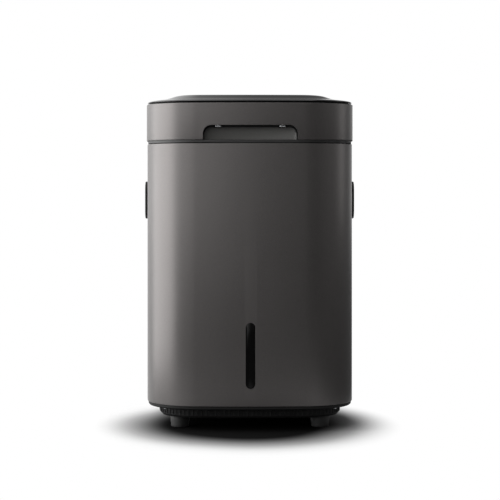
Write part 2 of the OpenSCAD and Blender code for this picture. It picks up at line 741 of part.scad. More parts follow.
// One arm: a split collar, a round bar and a paddle trimmed to the tub's round bottom
module mixing_arm() intersection() {
    difference() {
        union() {
            rod_x([0, 0], hub_r, -hub_w / 2, hub_w / 2);
            cylinder(h = tip_r - paddle_h / 2, r = arm_d / 2, $fn = 32);
            rotate([0, 0, paddle_turn]) translate([-paddle_w / 2, -paddle_t / 2, tip_r - paddle_h])
                cube([paddle_w, paddle_t, paddle_h + 2]);
        }
        rod_x([0, 0], shaft_r + 0.02, -hub_w, hub_w);
    }
    rod_x([0, 0], tip_r, -paddle_w, paddle_w);
}
module mixing_arms() color([0.72, 0.73, 0.74]) for (i = [0 : arm_count - 1])
    translate([(i - (arm_count - 1) / 2) * arm_pitch, shaft_at[0], shaft_at[1]])
        rotate([360 * 2 * i / arm_count, 0, 0]) mixing_arm();

/* Fan, duct and filter */

module filter_bay() color([0.14, 0.14, 0.15]) difference() {
    intersection() {
        block([-filter_w / 2 - bay_wall, bay_front, filter_z - bay_wall],
            [filter_w / 2 + bay_wall, half_d, bay_top]);
        prism(shell_wall + 0.05, filter_z - 10, filter_h + 20);
    }
    block([-filter_w / 2, bay_front + bay_wall, filter_z], [filter_w / 2, half_d + over, filter_z + filter_h]);
    rod_z([0, fan_y], fan_r, filter_z + filter_h - over, bay_top + over);
}

// The filter frame: open above and at the back, where the air passes
module filter_frame() color([0.22, 0.22, 0.23]) difference() {
    block([-frame_w / 2, frame_front, filter_z + frame_gap],
        [frame_w / 2, frame_rear, filter_z + filter_h - frame_gap]);
    block([-frame_w / 2 + frame_wall, frame_front + frame_wall, filter_z + frame_gap + frame_wall],
        [frame_w / 2 - frame_wall, frame_rear - frame_wall, filter_z + filter_h + over]);
    block([-frame_w / 2 + 8, frame_rear - frame_wall - over, filter_z + frame_gap + 8],
        [frame_w / 2 - 8, frame_rear + over, filter_z + filter_h - 8]);
}

// Pleated carbon: a zigzag sheet that stands in the frame
pack_gap = 0.4;
module carbon_pack() color([0.12, 0.12, 0.12]) {
    w = frame_w - 2 * (frame_wall + pack_gap);
    y0 = frame_front + frame_wall + pack_gap;
    y1 = frame_rear - frame_wall - pack_gap;
    step = w / pleat_count;
    t = step * 0.3;
    front = [for (i = [0 : pleat_count]) [-w / 2 + i * step, i % 2 == 0 ? y0 : y1 - 5]];
    rear = [for (i = [pleat_count : -1 : 0]) [-w / 2 + i * step, i % 2 == 0 ? y0 + 5 : y1]];
    translate([0, 0, filter_z + frame_gap + frame_wall]) linear_extrude(filter_h - 14)
        polygon(concat(front, rear));
}

// The rear cover: flush with the shell, with sloping louvres, a finger notch and the stays of the frame
louvre_pitch = (filter_h - 36) / louvre_count;
module rear_cover() color([0.13, 0.13, 0.13]) difference() {
    union() {
        intersection() {
            difference() {
                prism(0, filter_z, filter_h);
                prism(shell_wall, filter_z - over, filter_h + 2 * over);
            }
            block([-filter_w / 2 + cover_gap, 0, filter_z + cover_gap],
                [filter_w / 2 - cover_gap, half_d + over, filter_z + filter_h - cover_gap]);
        }
        for (x = [-frame_w / 2 + 6, frame_w / 2 - 10]) for (z = [filter_z + 8, filter_z + filter_h - 14])
            block([x, frame_rear, z], [x + 4, face_at(filter_w / 2, shell_wall / 2), z + 6]);
    }
    for (i = [0 : louvre_count - 1])
        translate([-filter_w / 2 + 16, half_d, filter_z + 13 + i * louvre_pitch]) rotate([25, 0, 0])
            translate([0, -14, 0]) cube([filter_w - 32, 24, louvre_pitch * 0.42]);
    translate([0, half_d + 3, filter_z + filter_h - 10]) sphere(r = 9, $fn = 48);
}

module fan_frame() color([0.10, 0.10, 0.10]) translate([0, fan_y, fan_z]) {
    difference() {
        linear_extrude(fan_h) polygon(round_rect(fan_size, fan_size, 4, 3));
        translate([0, 0, -over]) cylinder(h = fan_h + 2 * over, r = fan_r, $fn = 64);
        for (x = [-1, 1]) for (y = [-1, 1]) translate([x * (fan_size / 2 - 4.5), y * (fan_size / 2 - 4.5), -over])
            cylinder(h = fan_h + 2 * over, r = 1.8, $fn = 24);
    }
    for (i = [0 : 3]) rotate(45 + 90 * i) translate([fan_hub_r - 2, -1.5, 0]) cube([fan_r - fan_hub_r + 2.5, 3, 2]);
    cylinder(h = 2.5, r = fan_hub_r, $fn = 48);
    cylinder(h = fan_h - 1.5, r = fan_pin_r, $fn = 32);
}
module fan_rotor() color([0.16, 0.16, 0.17]) translate([0, fan_y, fan_z + 3]) difference() {
    union() {
        cylinder(h = fan_h - 3.5, r = fan_hub_r, $fn = 48);
        intersection() {
            for (i = [0 : blade_count - 1]) rotate(360 * i / blade_count) translate([fan_hub_r - 2, 0, 5.5])
                rotate([38, 0, 0]) translate([0, -7, -0.8]) cube([fan_r, 14, 1.6]);
            cylinder(h = fan_h - 3.5, r = fan_r - 1, $fn = 64);
        }
    }
    translate([0, 0, -over]) cylinder(h = fan_h + 2 * over, r = fan_pin_r + run, $fn = 32);
}

// The duct: from the slots in the tub's rear wall, down onto the fan
module exhaust_duct() color([0.17, 0.17, 0.18]) difference() {
    block([-duct_x, tub_y + tub_out_y, fan_z + fan_h], [duct_x, duct_rear, duct_top]);
    block([-duct_x + duct_wall, tub_y + tub_out_y - over, fan_z + fan_h + duct_wall],
        [duct_x - duct_wall, duct_rear - duct_wall, duct_top - duct_wall]);
    rod_z([0, fan_y], fan_r, fan_z + fan_h - over, fan_z + fan_h + duct_wall + over);
}

/* Electrics */

control_w = 72;
control_h = 92;
control_y = 50;
control_z = 240;
control_posts = [for (y = [-1, 1]) for (z = [-1, 1])
    [control_y + y * (control_w / 2 - 6), control_z + z * (control_h / 2 - 6)]];
board_x = half_w - 22;
module control_board() {
    color([0.05, 0.30, 0.15]) block([-board_x - board_t, control_y - control_w / 2, control_z - control_h / 2],
        [-board_x, control_y + control_w / 2, control_z + control_h / 2]);
    color([0.1, 0.1, 0.1]) {
        block([-board_x, control_y - 10, control_z - 4], [-board_x + 3, control_y + 6, control_z + 12]);
        for (s = [-1, 1]) block([-board_x, control_y - 20, control_z + s * 32 - 4],
            [-board_x + 9, control_y + 16, control_z + s * 32 + 4]);
    }
    color("silver") for (s = [-1, 1]) rod_x([control_y + s * 24, control_z - 14], 4, -board_x, -board_x + 12);
}

power_z = tray_z + 12;
power_w = 104;
power_d = 48;
power_y = -half_d + 60;
power_posts = [for (x = [-1, 1]) for (y = [-1, 1]) [x * (power_w / 2 - 6), power_y + y * (power_d / 2 - 6)]];
module power_board() {
    top = power_z + board_t;
    color([0.05, 0.30, 0.15]) block([-power_w / 2, power_y - power_d / 2, power_z],
        [power_w / 2, power_y + power_d / 2, top]);
    color([0.75, 0.55, 0.2]) block([-20, power_y - 14, top], [8, power_y + 10, top + 18.4]);
    color("silver") for (x = [-38, 24]) rod_z([x, power_y - 2], 6, top, top + 16.4);
    color([0.1, 0.1, 0.1]) block([34, power_y - 16, top], [46, power_y + 12, top + 10.4]);
}

// The mains inlet: a flanged socket with three blades
module mains_inlet() color([0.06, 0.06, 0.06]) {
    difference() {
        union() {
            block([inlet_x - inlet_w / 2, face_at(abs(inlet_x) - inlet_w / 2, 0) + 0.05, inlet_z - inlet_h / 2],
                [inlet_x + inlet_w / 2, half_d - 0.2, inlet_z + inlet_h / 2]);
            block([inlet_x - 15, half_d - 32, inlet_z - 10.5], [inlet_x + 15, half_d - 0.2, inlet_z + 10.5]);
        }
        block([inlet_x - 12, half_d - 24, inlet_z - 8], [inlet_x + 12, half_d + over, inlet_z + 8]);
        for (s = [-1, 1]) rod_y([inlet_x + s * 20, inlet_z], 1.7, half_d - 20, half_d + over);
    }
    for (at = [[-7, -2], [0, 2.5], [7, -2]])
        block([inlet_x + at[0] - 1, half_d - 26, inlet_z + at[1] - 2],
            [inlet_x + at[0] + 1, half_d - 11, inlet_z + at[1] + 2]);
}

// The window: a capsule lens flush with the shell, held by a lip behind it
module window_lens() color([0.02, 0.02, 0.02]) {
    upright(-window_front + 0.2, -window_front + lens_t) capsule(0);
    upright(-face_at(window_w, shell_wall) + 0.35, -window_front + lens_t + 2) capsule(lens_lip);
}
sensor_back = -window_front + lens_t + 2;
module sensor_board() {
    color([0.05, 0.30, 0.15]) block([-12, sensor_back + 2, window_z], [12, sensor_back + 2 + board_t, window_z + window_h]);
    color([0.9, 0.9, 0.85]) for (i = [0 : 4])
        block([-2, sensor_back, window_z + 12 + 17 * i], [2, sensor_back + 2, window_z + 16 + 17 * i]);
}

// A side grip: a proud rim, a hollow with sloping floor, and a lip for the fingers under its upper edge
module grip() {
    difference() {
        union() {
            difference() {
                sideways(half_w - face_bow - 2, half_w + grip_proud) grip_shape(0);
                prism(-0.05, grip_z - 10, grip_h + 20);
            }
            sideways(half_w - grip_depth - 2.5, half_w + 0.1) grip_shape(-grip_lip);
        }
        sideways(half_w - grip_depth, half_w - 6) grip_shape(-grip_lip - 2.5);
        sideways(half_w - 7, half_w + grip_proud + over) translate([0, -3]) grip_shape(-grip_lip - 6);
    }
}
module right_grip() color([0.07, 0.07, 0.07]) grip();
module left_grip() color([0.07, 0.07, 0.07]) mirror([1, 0, 0]) grip();

/* The lid */

edge_steps = 4;
skirt_section = concat(
    [[-lid_proud, skirt_z]],
    [for (i = [0 : edge_steps]) let (a = 90 * i / edge_steps)
        [-lid_proud + lid_edge_r * (1 - cos(a)), skirt_top - lid_edge_r * (1 - sin(a))]],
    [[panel_inset + 3, skirt_top], [panel_inset + 3, skirt_top - lid_wall],
    [-lid_proud + lid_wall, skirt_top - lid_wall - 2], [-lid_proud + lid_wall, skirt_z]]);

// The notch that the pull recess makes in the skirt, grown by g
module pull_shape(g) translate([0, skirt_z - 15]) polygon(round_rect(pull_w + 2 * g, 2 * (pull_h + g + 15), pull_r + g));

// Slots in the rear of the lid, which let it swing past the hinge ears
slot_top = hinge_z + ear_r + 2;
module ear_slots(front, top) for (x = [-ear_x, ear_x])
    block([x - lug_in, front, skirt_z - 20], [x + lug_in, half_d + 5, top]);

module lid_skirt() color([0.30, 0.29, 0.28]) difference() {
    union() {
        ring_wall(skirt_section);
        for (at = lid_posts) rod_z(at, 4, liner_top, skirt_top - lid_wall + 0.5);
    }
    upright(-half_d - 5, -half_d + 30) pull_shape(0);
    ear_slots(half_d - 30, slot_top);
    for (at = lid_posts) rod_z(at, 1.4, liner_top - over, liner_top + 14);
}

// The raised panel: glossy, with shoulders that rise gently from a dark neck
panel_neck = 3.6;
panel_levels = [
    [panel_inset + 0.4, skirt_top], [panel_inset + 0.4, skirt_top + panel_neck * 0.8],
    [panel_inset, skirt_top + panel_neck], [panel_inset + 3, skirt_top + panel_neck + 2],
    [panel_inset + 8, skirt_top + panel_h - 5.3], [panel_inset + 14, skirt_top + panel_h - 3.4],
    [panel_inset + 23, skirt_top + panel_h - 1.7], [panel_inset + 34, skirt_top + panel_h - 0.6],
    [panel_inset + 46, skirt_top + panel_h]];
panel_plug = 2.2;
module lid_panel() color([0.03, 0.03, 0.03]) difference() {
    union() {
        stack(panel_levels);
        prism(panel_inset + 3 + fit, skirt_top - panel_plug, panel_plug + 0.5);
    }
    prism(panel_inset + 22, skirt_top - 5, 5 + panel_h - 5);
}

board_y = -40;
module touch_board() {
    z = skirt_top + panel_h - 5.8 - board_t;
    color([0.05, 0.30, 0.15]) block([-70, board_y - 22, z], [70, board_y + 22, z + board_t]);
    color([0.9, 0.9, 0.85]) for (i = [-2 : 2]) rod_z([i * 26, board_y], 4, z + board_t, z + board_t + 0.8);
    color([0.1, 0.1, 0.1]) for (x = [-66, 60]) block([x, board_y - 18, z - 4], [x + 6, board_y + 18, z]);
}

// The liner: a pan that closes the lid from below, with its flange showing in the seam
liner_top = skirt_z + liner_t + 1;
liner_rear = hinge_y - 20;
post_inset = 11.5;
post_k = (corner_r - post_inset) * sqrt(0.5);
lid_posts = concat([for (x = [-1, 1]) for (y = [-1, 1]) [x * (corner_x + post_k), y * (corner_y + post_k)]],
    [[post_inset - half_w, 0], [half_w - post_inset, 0]]);
module lid_liner() color([0.08, 0.08, 0.08]) difference() {
    union() {
        prism(lid_wall - lid_proud + fit, skirt_z + 0.4, liner_t + 0.6);
        difference() {
            prism(1.2, liner_z, skirt_z - 0.3 - liner_z);
            prism(8, liner_z - over, skirt_z - liner_z + 2 * over);
            block([-half_w - 5, liner_rear, liner_z - over], [half_w + 5, half_d + 5, skirt_z + over]);
        }
        difference() {
            prism(lid_wall - lid_proud + fit, skirt_z - 0.4, 1);
            prism(8, skirt_z - 2, 4);
            block([-half_w - 5, liner_rear, liner_z - over], [half_w + 5, half_d + 5, skirt_z + over]);
        }
    }
    ear_slots(hinge_y - ear_r - 3, slot_top);
    upright(-half_d - 5, -half_d + pull_d + fit) pull_shape(cup_wall + fit);
    for (at = lid_posts) rod_z(at, 1.7, liner_z - over, liner_top + over);
}

gasket_w = 4;
gasket_z = tub_top + fit;
module lid_gasket() color([0.05, 0.05, 0.05]) translate([0, 0, gasket_z])
    linear_extrude(skirt_z + 0.4 - gasket_z) difference() {
        mouth_shape(gasket_w / 2 + 1);
        mouth_shape(-gasket_w / 2 + 1);
    }

// The cup behind the pull recess, with soft inner corners: [in from the sides, down from the roof, before the back]
cup_wall = 2;
cup_levels = [[0, 0, 7], [1, 0.4, 3.6], [3.2, 1.4, 1.1], [7, 3, 0]];
module pull_cup() color([0.20, 0.19, 0.19]) difference() {
    intersection() {
        upright(-half_d - 5, -half_d + pull_d) pull_shape(cup_wall);
        prism(lid_wall - lid_proud + fit, skirt_z + fit, pull_h + 10);
    }
    hull() for (s = cup_levels) upright(-half_d - 5, -half_d + pull_d - cup_wall - s[2])
        translate([0, skirt_z - 15]) polygon(round_rect(pull_w - 2 * s[0], 2 * (pull_h + 15 - s[1]), pull_r));
    for (x = stud_places) rod_z([x, stud_y], stud_pin_r, skirt_z + pull_h - over, skirt_z + pull_h + cup_wall + over);
}

// Two polished studs in the recess's roof, where the fingertips close
stud_places = [-45, 45];
stud_l = 9;
stud_r = 1.6;
stud_pin_r = 1.2;
stud_y = -half_d + 6;
module pull_studs() color([0.80, 0.81, 0.82]) for (x = stud_places) {
    rod_x([stud_y, skirt_z + pull_h - stud_r], stud_r, x - stud_l / 2 + stud_r, x + stud_l / 2 - stud_r);
    for (s = [-1, 1]) translate([x + s * (stud_l / 2 - stud_r), stud_y, skirt_z + pull_h - stud_r])
        sphere(r = stud_r, $fn = 32);
    rod_z([x, stud_y], stud_pin_r, skirt_z + pull_h - stud_r, skirt_z + pull_h + cup_wall);
}

// Hinge bracket: two lugs under a plate, either side of an ear
module hinge_bracket() difference() {
    union() {
        for (s = [-1, 1]) translate([s * (lug_in + lug_t / 2), 0, 0]) {
            rod_x([hinge_y, hinge_z], ear_r, -lug_t / 2, lug_t / 2);
            block([-lug_t / 2, hinge_y - ear_r, hinge_z], [lug_t / 2, hinge_y + 4, skirt_top - lid_wall - 2.2]);
        }
        block([-lug_in - lug_t - 4, hinge_y - ear_r - 10, skirt_top - lid_wall - 4.4],
            [lug_in + lug_t + 4, hinge_y + 4, skirt_top - lid_wall - 2.2]);
    }
    rod_x([hinge_y, hinge_z], pin_r + 0.02, -40, 40);
}
module left_hinge_bracket() color("silver") translate([-ear_x, 0, 0]) hinge_bracket();
module right_hinge_bracket() color("silver") translate([ear_x, 0, 0]) hinge_bracket();
module hinge_pin() {
    rod_x([hinge_y, hinge_z], pin_r, -lug_in - lug_t - 1, lug_in + lug_t + 1);
    rod_x([hinge_y, hinge_z], pin_r + 1.5, lug_in + lug_t + 0.05, lug_in + lug_t + 2);
}
module left_hinge_pin() color([0.7, 0.7, 0.72]) translate([-ear_x, 0, 0]) hinge_pin();
module right_hinge_pin() color([0.7, 0.7, 0.72]) translate([ear_x, 0, 0]) hinge_pin();

module lid_screws() color([0.55, 0.55, 0.57]) for (at = lid_posts) {
    rod_z(at, 1.35, skirt_z + 0.3, liner_top + 12);
    rod_z(at, 2.6, skirt_z - 1.2, skirt_z + 0.4);
}

outer_shell();
base_tray();
front_left_foot();
front_right_foot();
rear_left_foot();
rear_right_foot();
base_screws();
top_deck();
deck_screws();
tub();
heater_pad();
humidity_sensor();
left_bearing_housing();
right_bearing_housing();
left_bearing();
right_bearing();
left_shaft_seal();
right_shaft_seal();
gear_plate();
gear_motor();
motor_screws();
idler_axle();
exhaust_duct();
fan_frame();
filter_bay();
power_board();
control_board();
mains_inlet();
window_lens();
sensor_board();
left_grip();
right_grip();
lid_skirt();
lid_panel();
touch_board();
lid_liner();
lid_gasket();
pull_cup();
pull_studs();
left_hinge_bracket();
right_hinge_bracket();
left_hinge_pin();
right_hinge_pin();
lid_screws();
agitator_shaft();
mixing_arms();
drive_gear();
shaft_clip();
idler_gear();
motor_pinion();
fan_rotor();
rear_cover();
filter_frame();
carbon_pack();
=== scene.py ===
"""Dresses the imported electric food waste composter: smooth mouldings, finishes, floor, lamps and camera."""

import json
import math

import bmesh
import bpy
from mathutils import Matrix, Vector


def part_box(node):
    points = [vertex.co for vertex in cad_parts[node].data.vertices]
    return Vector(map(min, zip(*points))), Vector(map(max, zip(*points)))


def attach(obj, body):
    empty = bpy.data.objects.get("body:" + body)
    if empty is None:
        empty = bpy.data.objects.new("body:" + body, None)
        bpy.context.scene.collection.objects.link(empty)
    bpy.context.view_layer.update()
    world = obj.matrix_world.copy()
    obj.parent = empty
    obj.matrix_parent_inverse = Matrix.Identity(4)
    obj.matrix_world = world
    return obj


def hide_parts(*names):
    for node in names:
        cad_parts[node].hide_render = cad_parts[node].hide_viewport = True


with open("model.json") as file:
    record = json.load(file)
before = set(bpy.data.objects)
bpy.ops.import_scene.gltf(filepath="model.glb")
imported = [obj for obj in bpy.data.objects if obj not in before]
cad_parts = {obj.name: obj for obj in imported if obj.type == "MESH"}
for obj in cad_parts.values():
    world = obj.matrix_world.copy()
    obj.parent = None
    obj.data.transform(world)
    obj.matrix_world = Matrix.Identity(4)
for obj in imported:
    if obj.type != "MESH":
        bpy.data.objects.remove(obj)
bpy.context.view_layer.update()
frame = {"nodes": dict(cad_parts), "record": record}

bl_info = {
    "name": "Food Waste Composter",
    "version": (1, 0, 0),
    "blender": (4, 5, 0),
    "location": "3D View > Sidebar > Composter",
    "description": "Builds the mouldings and finishes of a food waste composter on its packed frame",
    "category": "Object",
}


def number(name, description, default, **more):
    return bpy.props.FloatProperty(name=name, description=description, default=default, **more)


def length(name, description, default):
    return number(name, description, default, unit="LENGTH", subtype="DISTANCE")


def colour(name, description, default):
    return bpy.props.FloatVectorProperty(name=name, description=description, default=default, size=3,
                                         min=0, max=1, subtype="COLOR")


# Sizes and colours

class CabinetSizes(bpy.types.PropertyGroup):
    body_w: length("Width", "Width of the shell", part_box("outer_shell")[1].x * 2)
    body_d: length("Depth", "Depth of the shell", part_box("outer_shell")[1].y * 2)
    corner_r: length("Corner radius", "Radius of the upright corners", 0.078)
    face_bow: length("Face bow", "How far each face bows outward", 0.003)
    wall: length("Wall", "Wall of the shell and the skirt", 0.0025)
    shell_z: length("Shell bottom", "Height of the shell's lower edge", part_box("outer_shell")[0].z)
    shell_top: length("Shell top", "Height of the shell's upper edge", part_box("outer_shell")[1].z)
    plinth_inset: length("Plinth inset", "How far the plinth stands in from the shell", 0.018)
    rim_inset: length("Rim inset", "How far the base's rim stands in from the shell", 0.0015)
    rim_h: length("Rim height", "Height of the rim under the shell", 0.005)
    plinth_z: length("Plinth bottom", "Height of the plinth's underside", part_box("base_tray")[0].z)
    foot_r: length("Foot radius", "Radius of a foot at its top", 0.014)
    foot_x: length("Foot place across", "Distance of the feet from the middle, across", 0.100)
    foot_y: length("Foot place in depth", "Distance of the feet from the middle, front to rear", 0.099)
    grip_l: length("Grip length", "Length of a side grip", 0.112)
    grip_h: length("Grip height", "Height of a side grip", 0.054)
    grip_z: length("Grip place", "Height of a grip's lower edge", 0.296)
    grip_proud: length("Grip rim", "How far a grip's rim stands proud", 0.0022)
    window_w: length("Window width", "Width of the capsule window", 0.0132)
    window_h: length("Window height", "Height of the capsule window", 0.092)
    window_z: length("Window place", "Height of the window's lower end", 0.0606)
    filter_w: length("Filter opening width", "Width of the rear opening", 0.148)
    filter_h: length("Filter opening height", "Height of the rear opening", 0.112)
    filter_z: length("Filter opening place", "Height of the rear opening's lower edge", 0.197)
    louvres: bpy.props.IntProperty(name="Louvres", description="Slots in the rear cover", default=9, min=1)


class LidSizes(bpy.types.PropertyGroup):
    skirt_z: length("Skirt bottom", "Height of the skirt's lower edge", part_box("lid_skirt")[0].z)
    skirt_top: length("Skirt top", "Height of the skirt's upper edge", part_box("lid_skirt")[1].z)
    proud: length("Proud", "How far the skirt stands proud of the shell", 0.001)
    edge_r: length("Edge radius", "Rounding of the skirt's upper edge", 0.0008)
    panel_inset: length("Panel inset", "How far the raised panel stands in", 0.024)
    panel_h: length("Panel height", "Height of the raised panel", 0.014)
    rim: length("Panel gap", "Height of the dark gap under the panel's edge", 0.0024)
    pull_w: length("Pull width", "Width of the pull recess", 0.133)
    pull_h: length("Pull height", "Height of the pull recess", 0.0205)
    pull_d: length("Pull depth", "Depth of the pull recess", 0.018)
    pull_r: length("Pull corner", "Radius of the recess's upper corners", 0.012)
    hinge_y: length("Hinge place", "Distance of the hinge axis behind the middle", 0.1475)
    hinge_z: length("Hinge height", "Height of the hinge axis", 0.430)
    hinge_span: length("Hinge span", "Distance between the hinge ears", 0.100)


class FinishColours(bpy.types.PropertyGroup):
    paint: colour("Paint", "Metallic charcoal paint of shell and lid", (0.080, 0.075, 0.0735))
    gloss: colour("Gloss black", "Raised panel and window", (0.008, 0.008, 0.008))
    moulding: colour("Moulding", "Base, grips and rear cover", (0.008, 0.008, 0.008))
    grey: colour("Grey moulding", "Lid liner and pull cup", (0.074, 0.073, 0.069))
    rubber: colour("Rubber", "Feet and seals", (0.006, 0.006, 0.006))
    zinc: colour("Zinc", "Screws and brackets", (0.55, 0.56, 0.58))
    steel: colour("Steel", "Shaft, arms and pins", (0.62, 0.63, 0.65))
    tub: colour("Tub", "Tub moulding", (0.035, 0.035, 0.038))


class StudioSettings(bpy.types.PropertyGroup):
    lens: number("Lens", "Focal length in millimetres", 122.4)
    camera_place: bpy.props.FloatVectorProperty(name="Camera", description="Place of the camera",
                                                default=(-0.0256, -2.53, 0.345), subtype="TRANSLATION")
    camera_turn: number("Turn", "Turn of the camera to the right", math.radians(0.603), subtype="ANGLE")
    shift_y: number("Shift", "Upward shift of the view", -0.13)
    side_lamp: number("Side lamp", "Power of the left lamp", 7.3, min=0, subtype="POWER")
    top_lamp: number("Top lamp", "Power of the overhead lamp", 7.5, min=0, subtype="POWER")
    right_lamp: number("Right lamp", "Power of the small lamp on the right", 0.56, min=0, subtype="POWER")
    room: number("Room light", "Strength of the room's own light", 0.25, min=0)


class ComposterSettings(bpy.types.PropertyGroup):
    cabinet: bpy.props.PointerProperty(type=CabinetSizes)
    lid: bpy.props.PointerProperty(type=LidSizes)
    colours: bpy.props.PointerProperty(type=FinishColours)
    studio: bpy.props.PointerProperty(type=StudioSettings)


# Nodes of shader and geometry trees

class Wire:
    """An output socket. Arithmetic on it adds Math nodes."""

    def __init__(self, kit, socket):
        self.kit, self.socket = kit, socket

    def math(self, operation, *values):
        node = self.kit.node("ShaderNodeMath", dict(enumerate(values)), operation=operation)
        return Wire(self.kit, node.outputs[0])

    def __add__(self, other): return self.math("ADD", self, other)
    def __radd__(self, other): return self.math("ADD", other, self)
    def __sub__(self, other): return self.math("SUBTRACT", self, other)
    def __rsub__(self, other): return self.math("SUBTRACT", other, self)
    def __mul__(self, other): return self.math("MULTIPLY", self, other)
    def __rmul__(self, other): return self.math("MULTIPLY", other, self)

    def max(self, other):
        return self.math("MAXIMUM", self, other)

    def ramp(self, low, high):
        """0 below low, 1 above high, and smooth between them."""
        return self.kit.out("ShaderNodeMapRange", {0: self, 1: low, 2: high, 3: 0.0, 4: 1.0},
                            interpolation_type="SMOOTHSTEP")


class Kit:
    """Adds nodes to one tree: the type, what goes into its sockets, and the settings, which are set first."""

    def __init__(self, tree):
        self.tree = tree

    def node(self, kind, sockets=None, **options):
        node = self.tree.nodes.new(kind)
        for key, value in options.items():
            setattr(node, key, value)
        for key, value in (sockets or {}).items():
            if isinstance(value, Wire):
                self.tree.links.new(value.socket, node.inputs[key])
            else:
                node.inputs[key].default_value = value
        return node

    def out(self, kind, sockets=None, output=0, **options):
        return Wire(self, self.node(kind, sockets, **options).outputs[output])


class Finish(Kit):
    """A material made of nodes on Object coordinates."""

    def __init__(self, name):
        self.material = bpy.data.materials.new(name)
        self.material.use_nodes = True
        super().__init__(self.material.node_tree)
        self.tree.nodes.clear()
        self.place = self.out("ShaderNodeTexCoord", output="Object")

    def mapped(self, scale):
        return self.out("ShaderNodeMapping", {"Vector": self.place, "Scale": scale})

    def noise(self, scale, detail=2.0, stretch=None):
        vector = self.mapped(stretch) if stretch else self.place
        return self.out("ShaderNodeTexNoise", {"Vector": vector, "Scale": scale, "Detail": detail})

    def cells(self, scale):
        return self.out("ShaderNodeTexVoronoi", {"Vector": self.place, "Scale": scale})

    def mix(self, factor, a, b):
        return self.out("ShaderNodeMix", {0: factor, 6: a, 7: b}, 2, data_type="RGBA")

    def tinted(self, rgb, factor, spread):
        """The colour, darker and lighter by the spread as the factor goes from 0 to 1."""
        return self.mix(factor, shade(rgb, 1 - spread), shade(rgb, 1 + spread))

    def finish(self, base, roughness, height=None, depth=0.0, strength=1.0, **constants):
        sockets = {"Base Color": base, "Roughness": roughness}
        if height is not None:
            bump = {"Height": height, "Distance": depth, "Strength": strength}
            sockets["Normal"] = self.out("ShaderNodeBump", bump)
        sockets.update({key.replace("_", " "): value for key, value in constants.items()})
        surface = self.out("ShaderNodeBsdfPrincipled", sockets)
        self.node("ShaderNodeOutputMaterial", {"Surface": surface})
        return self.material


def shade(rgb, k=1.0):
    return (*[min(1.0, c * k) for c in rgb], 1.0)


def paint_finish(name, rgb):
    """Satin metallic paint: fine flakes, a soft orange peel and slow changes in gloss."""
    f = Finish(name)
    flakes = f.noise(2400, 0.0).ramp(0.30, 0.70)
    clouds = f.noise(18, 3.0)
    base = f.tinted(rgb, flakes * 0.8 + clouds * 0.2, 0.16)
    rough = 0.36 + (clouds - 0.5) * 0.05 + (flakes - 0.5) * 0.05
    return f.finish(base, rough, f.noise(900, 1.0), 0.00006, 0.5, Metallic=0.75)


def gloss_finish(name, rgb, ior=1.5):
    """Polished plastic or tinted glass with a faint haze of wiping."""
    f = Finish(name)
    haze = f.noise(35, 4.0, (1.0, 0.35, 1.0))
    base = f.tinted(rgb, haze, 0.2)
    return f.finish(base, 0.06 + haze.ramp(0.35, 0.8) * 0.09, f.noise(12, 1.0), 0.0002, 0.15, IOR=ior)


def moulded_finish(name, rgb, roughness, grain=1300, depth=0.00005, ior=1.45):
    """Moulded plastic with a spark-eroded grain, a little paler where the grain stands up."""
    f = Finish(name)
    pits = f.cells(grain)
    clouds = f.noise(14, 3.0)
    base = f.tinted(rgb, pits * 0.7 + clouds * 0.4, 0.18)
    rough = roughness + (clouds - 0.5) * 0.10 + (pits - 0.4) * 0.08
    return f.finish(base, rough, pits, depth, 0.6, IOR=ior)


def rubber_finish(name, rgb):
    """Matte rubber with a dusty bloom."""
    f = Finish(name)
    bloom = f.noise(45, 5.0).ramp(0.45, 0.75)
    base = f.mix(bloom * 0.35, shade(rgb), shade(rgb, 2.2))
    return f.finish(base, 0.58 + bloom * 0.18, f.noise(700, 2.0), 0.00008, 0.6)


def metal_finish(name, rgb, roughness, stretch=(1.0, 1.0, 1.0), grain=700, spread=0.10, depth=0.00003):
    """Metal with brush marks that run along its least stretched axis, and small spots of dull skin."""
    f = Finish(name)
    marks = f.noise(grain, 3.0, stretch)
    spots = f.noise(60, 4.0).ramp(0.55, 0.78)
    base = f.mix(spots * 0.25, f.tinted(rgb, marks, spread), shade(rgb, 0.7))
    rough = roughness + (marks - 0.5) * 0.16 + spots * 0.10
    return f.finish(base, rough, marks, depth, 0.5, Metallic=1.0)


def board_finish(name, rgb):
    """Solder resist over copper tracks, with pads."""
    f = Finish(name)
    tracks = f.out("ShaderNodeTexBrick", {"Vector": f.place, "Scale": 90.0, "Mortar Size": 0.03,
                                          "Mortar Smooth": 0.1}, 1, offset=0.37)
    pads = 1.0 - f.cells(160).ramp(0.10, 0.16)
    copper = f.mix(tracks * 0.6, shade(rgb), shade((0.10, 0.42, 0.16)))
    base = f.mix(pads * 0.8, copper, shade((0.72, 0.70, 0.60)))
    return f.finish(base, 0.28 + pads * 0.12, tracks + pads, 0.00004, 0.6)


def film_finish(name, rgb):
    """Amber heater film with its winding showing through."""
    f = Finish(name)
    turns = f.out("ShaderNodeTexWave", {"Vector": f.place, "Scale": 55.0, "Distortion": 1.2,
                                        "Detail": 1.0}, 1, bands_direction="X")
    base = f.mix(turns.ramp(0.62, 0.8), shade(rgb), shade((0.20, 0.08, 0.03)))
    return f.finish(base, 0.25 + turns * 0.08, turns, 0.00008, 0.5)


def carbon_finish(name, rgb):
    """Cloth filled with carbon grains."""
    f = Finish(name)
    grains = f.cells(650)
    weave = f.noise(2200, 1.0)
    base = f.tinted(rgb, grains * 0.8 + weave * 0.4, 0.5)
    return f.finish(base, 0.85 - grains * 0.25, grains + weave * 0.5, 0.0003, 0.8)


MATERIALS = {}


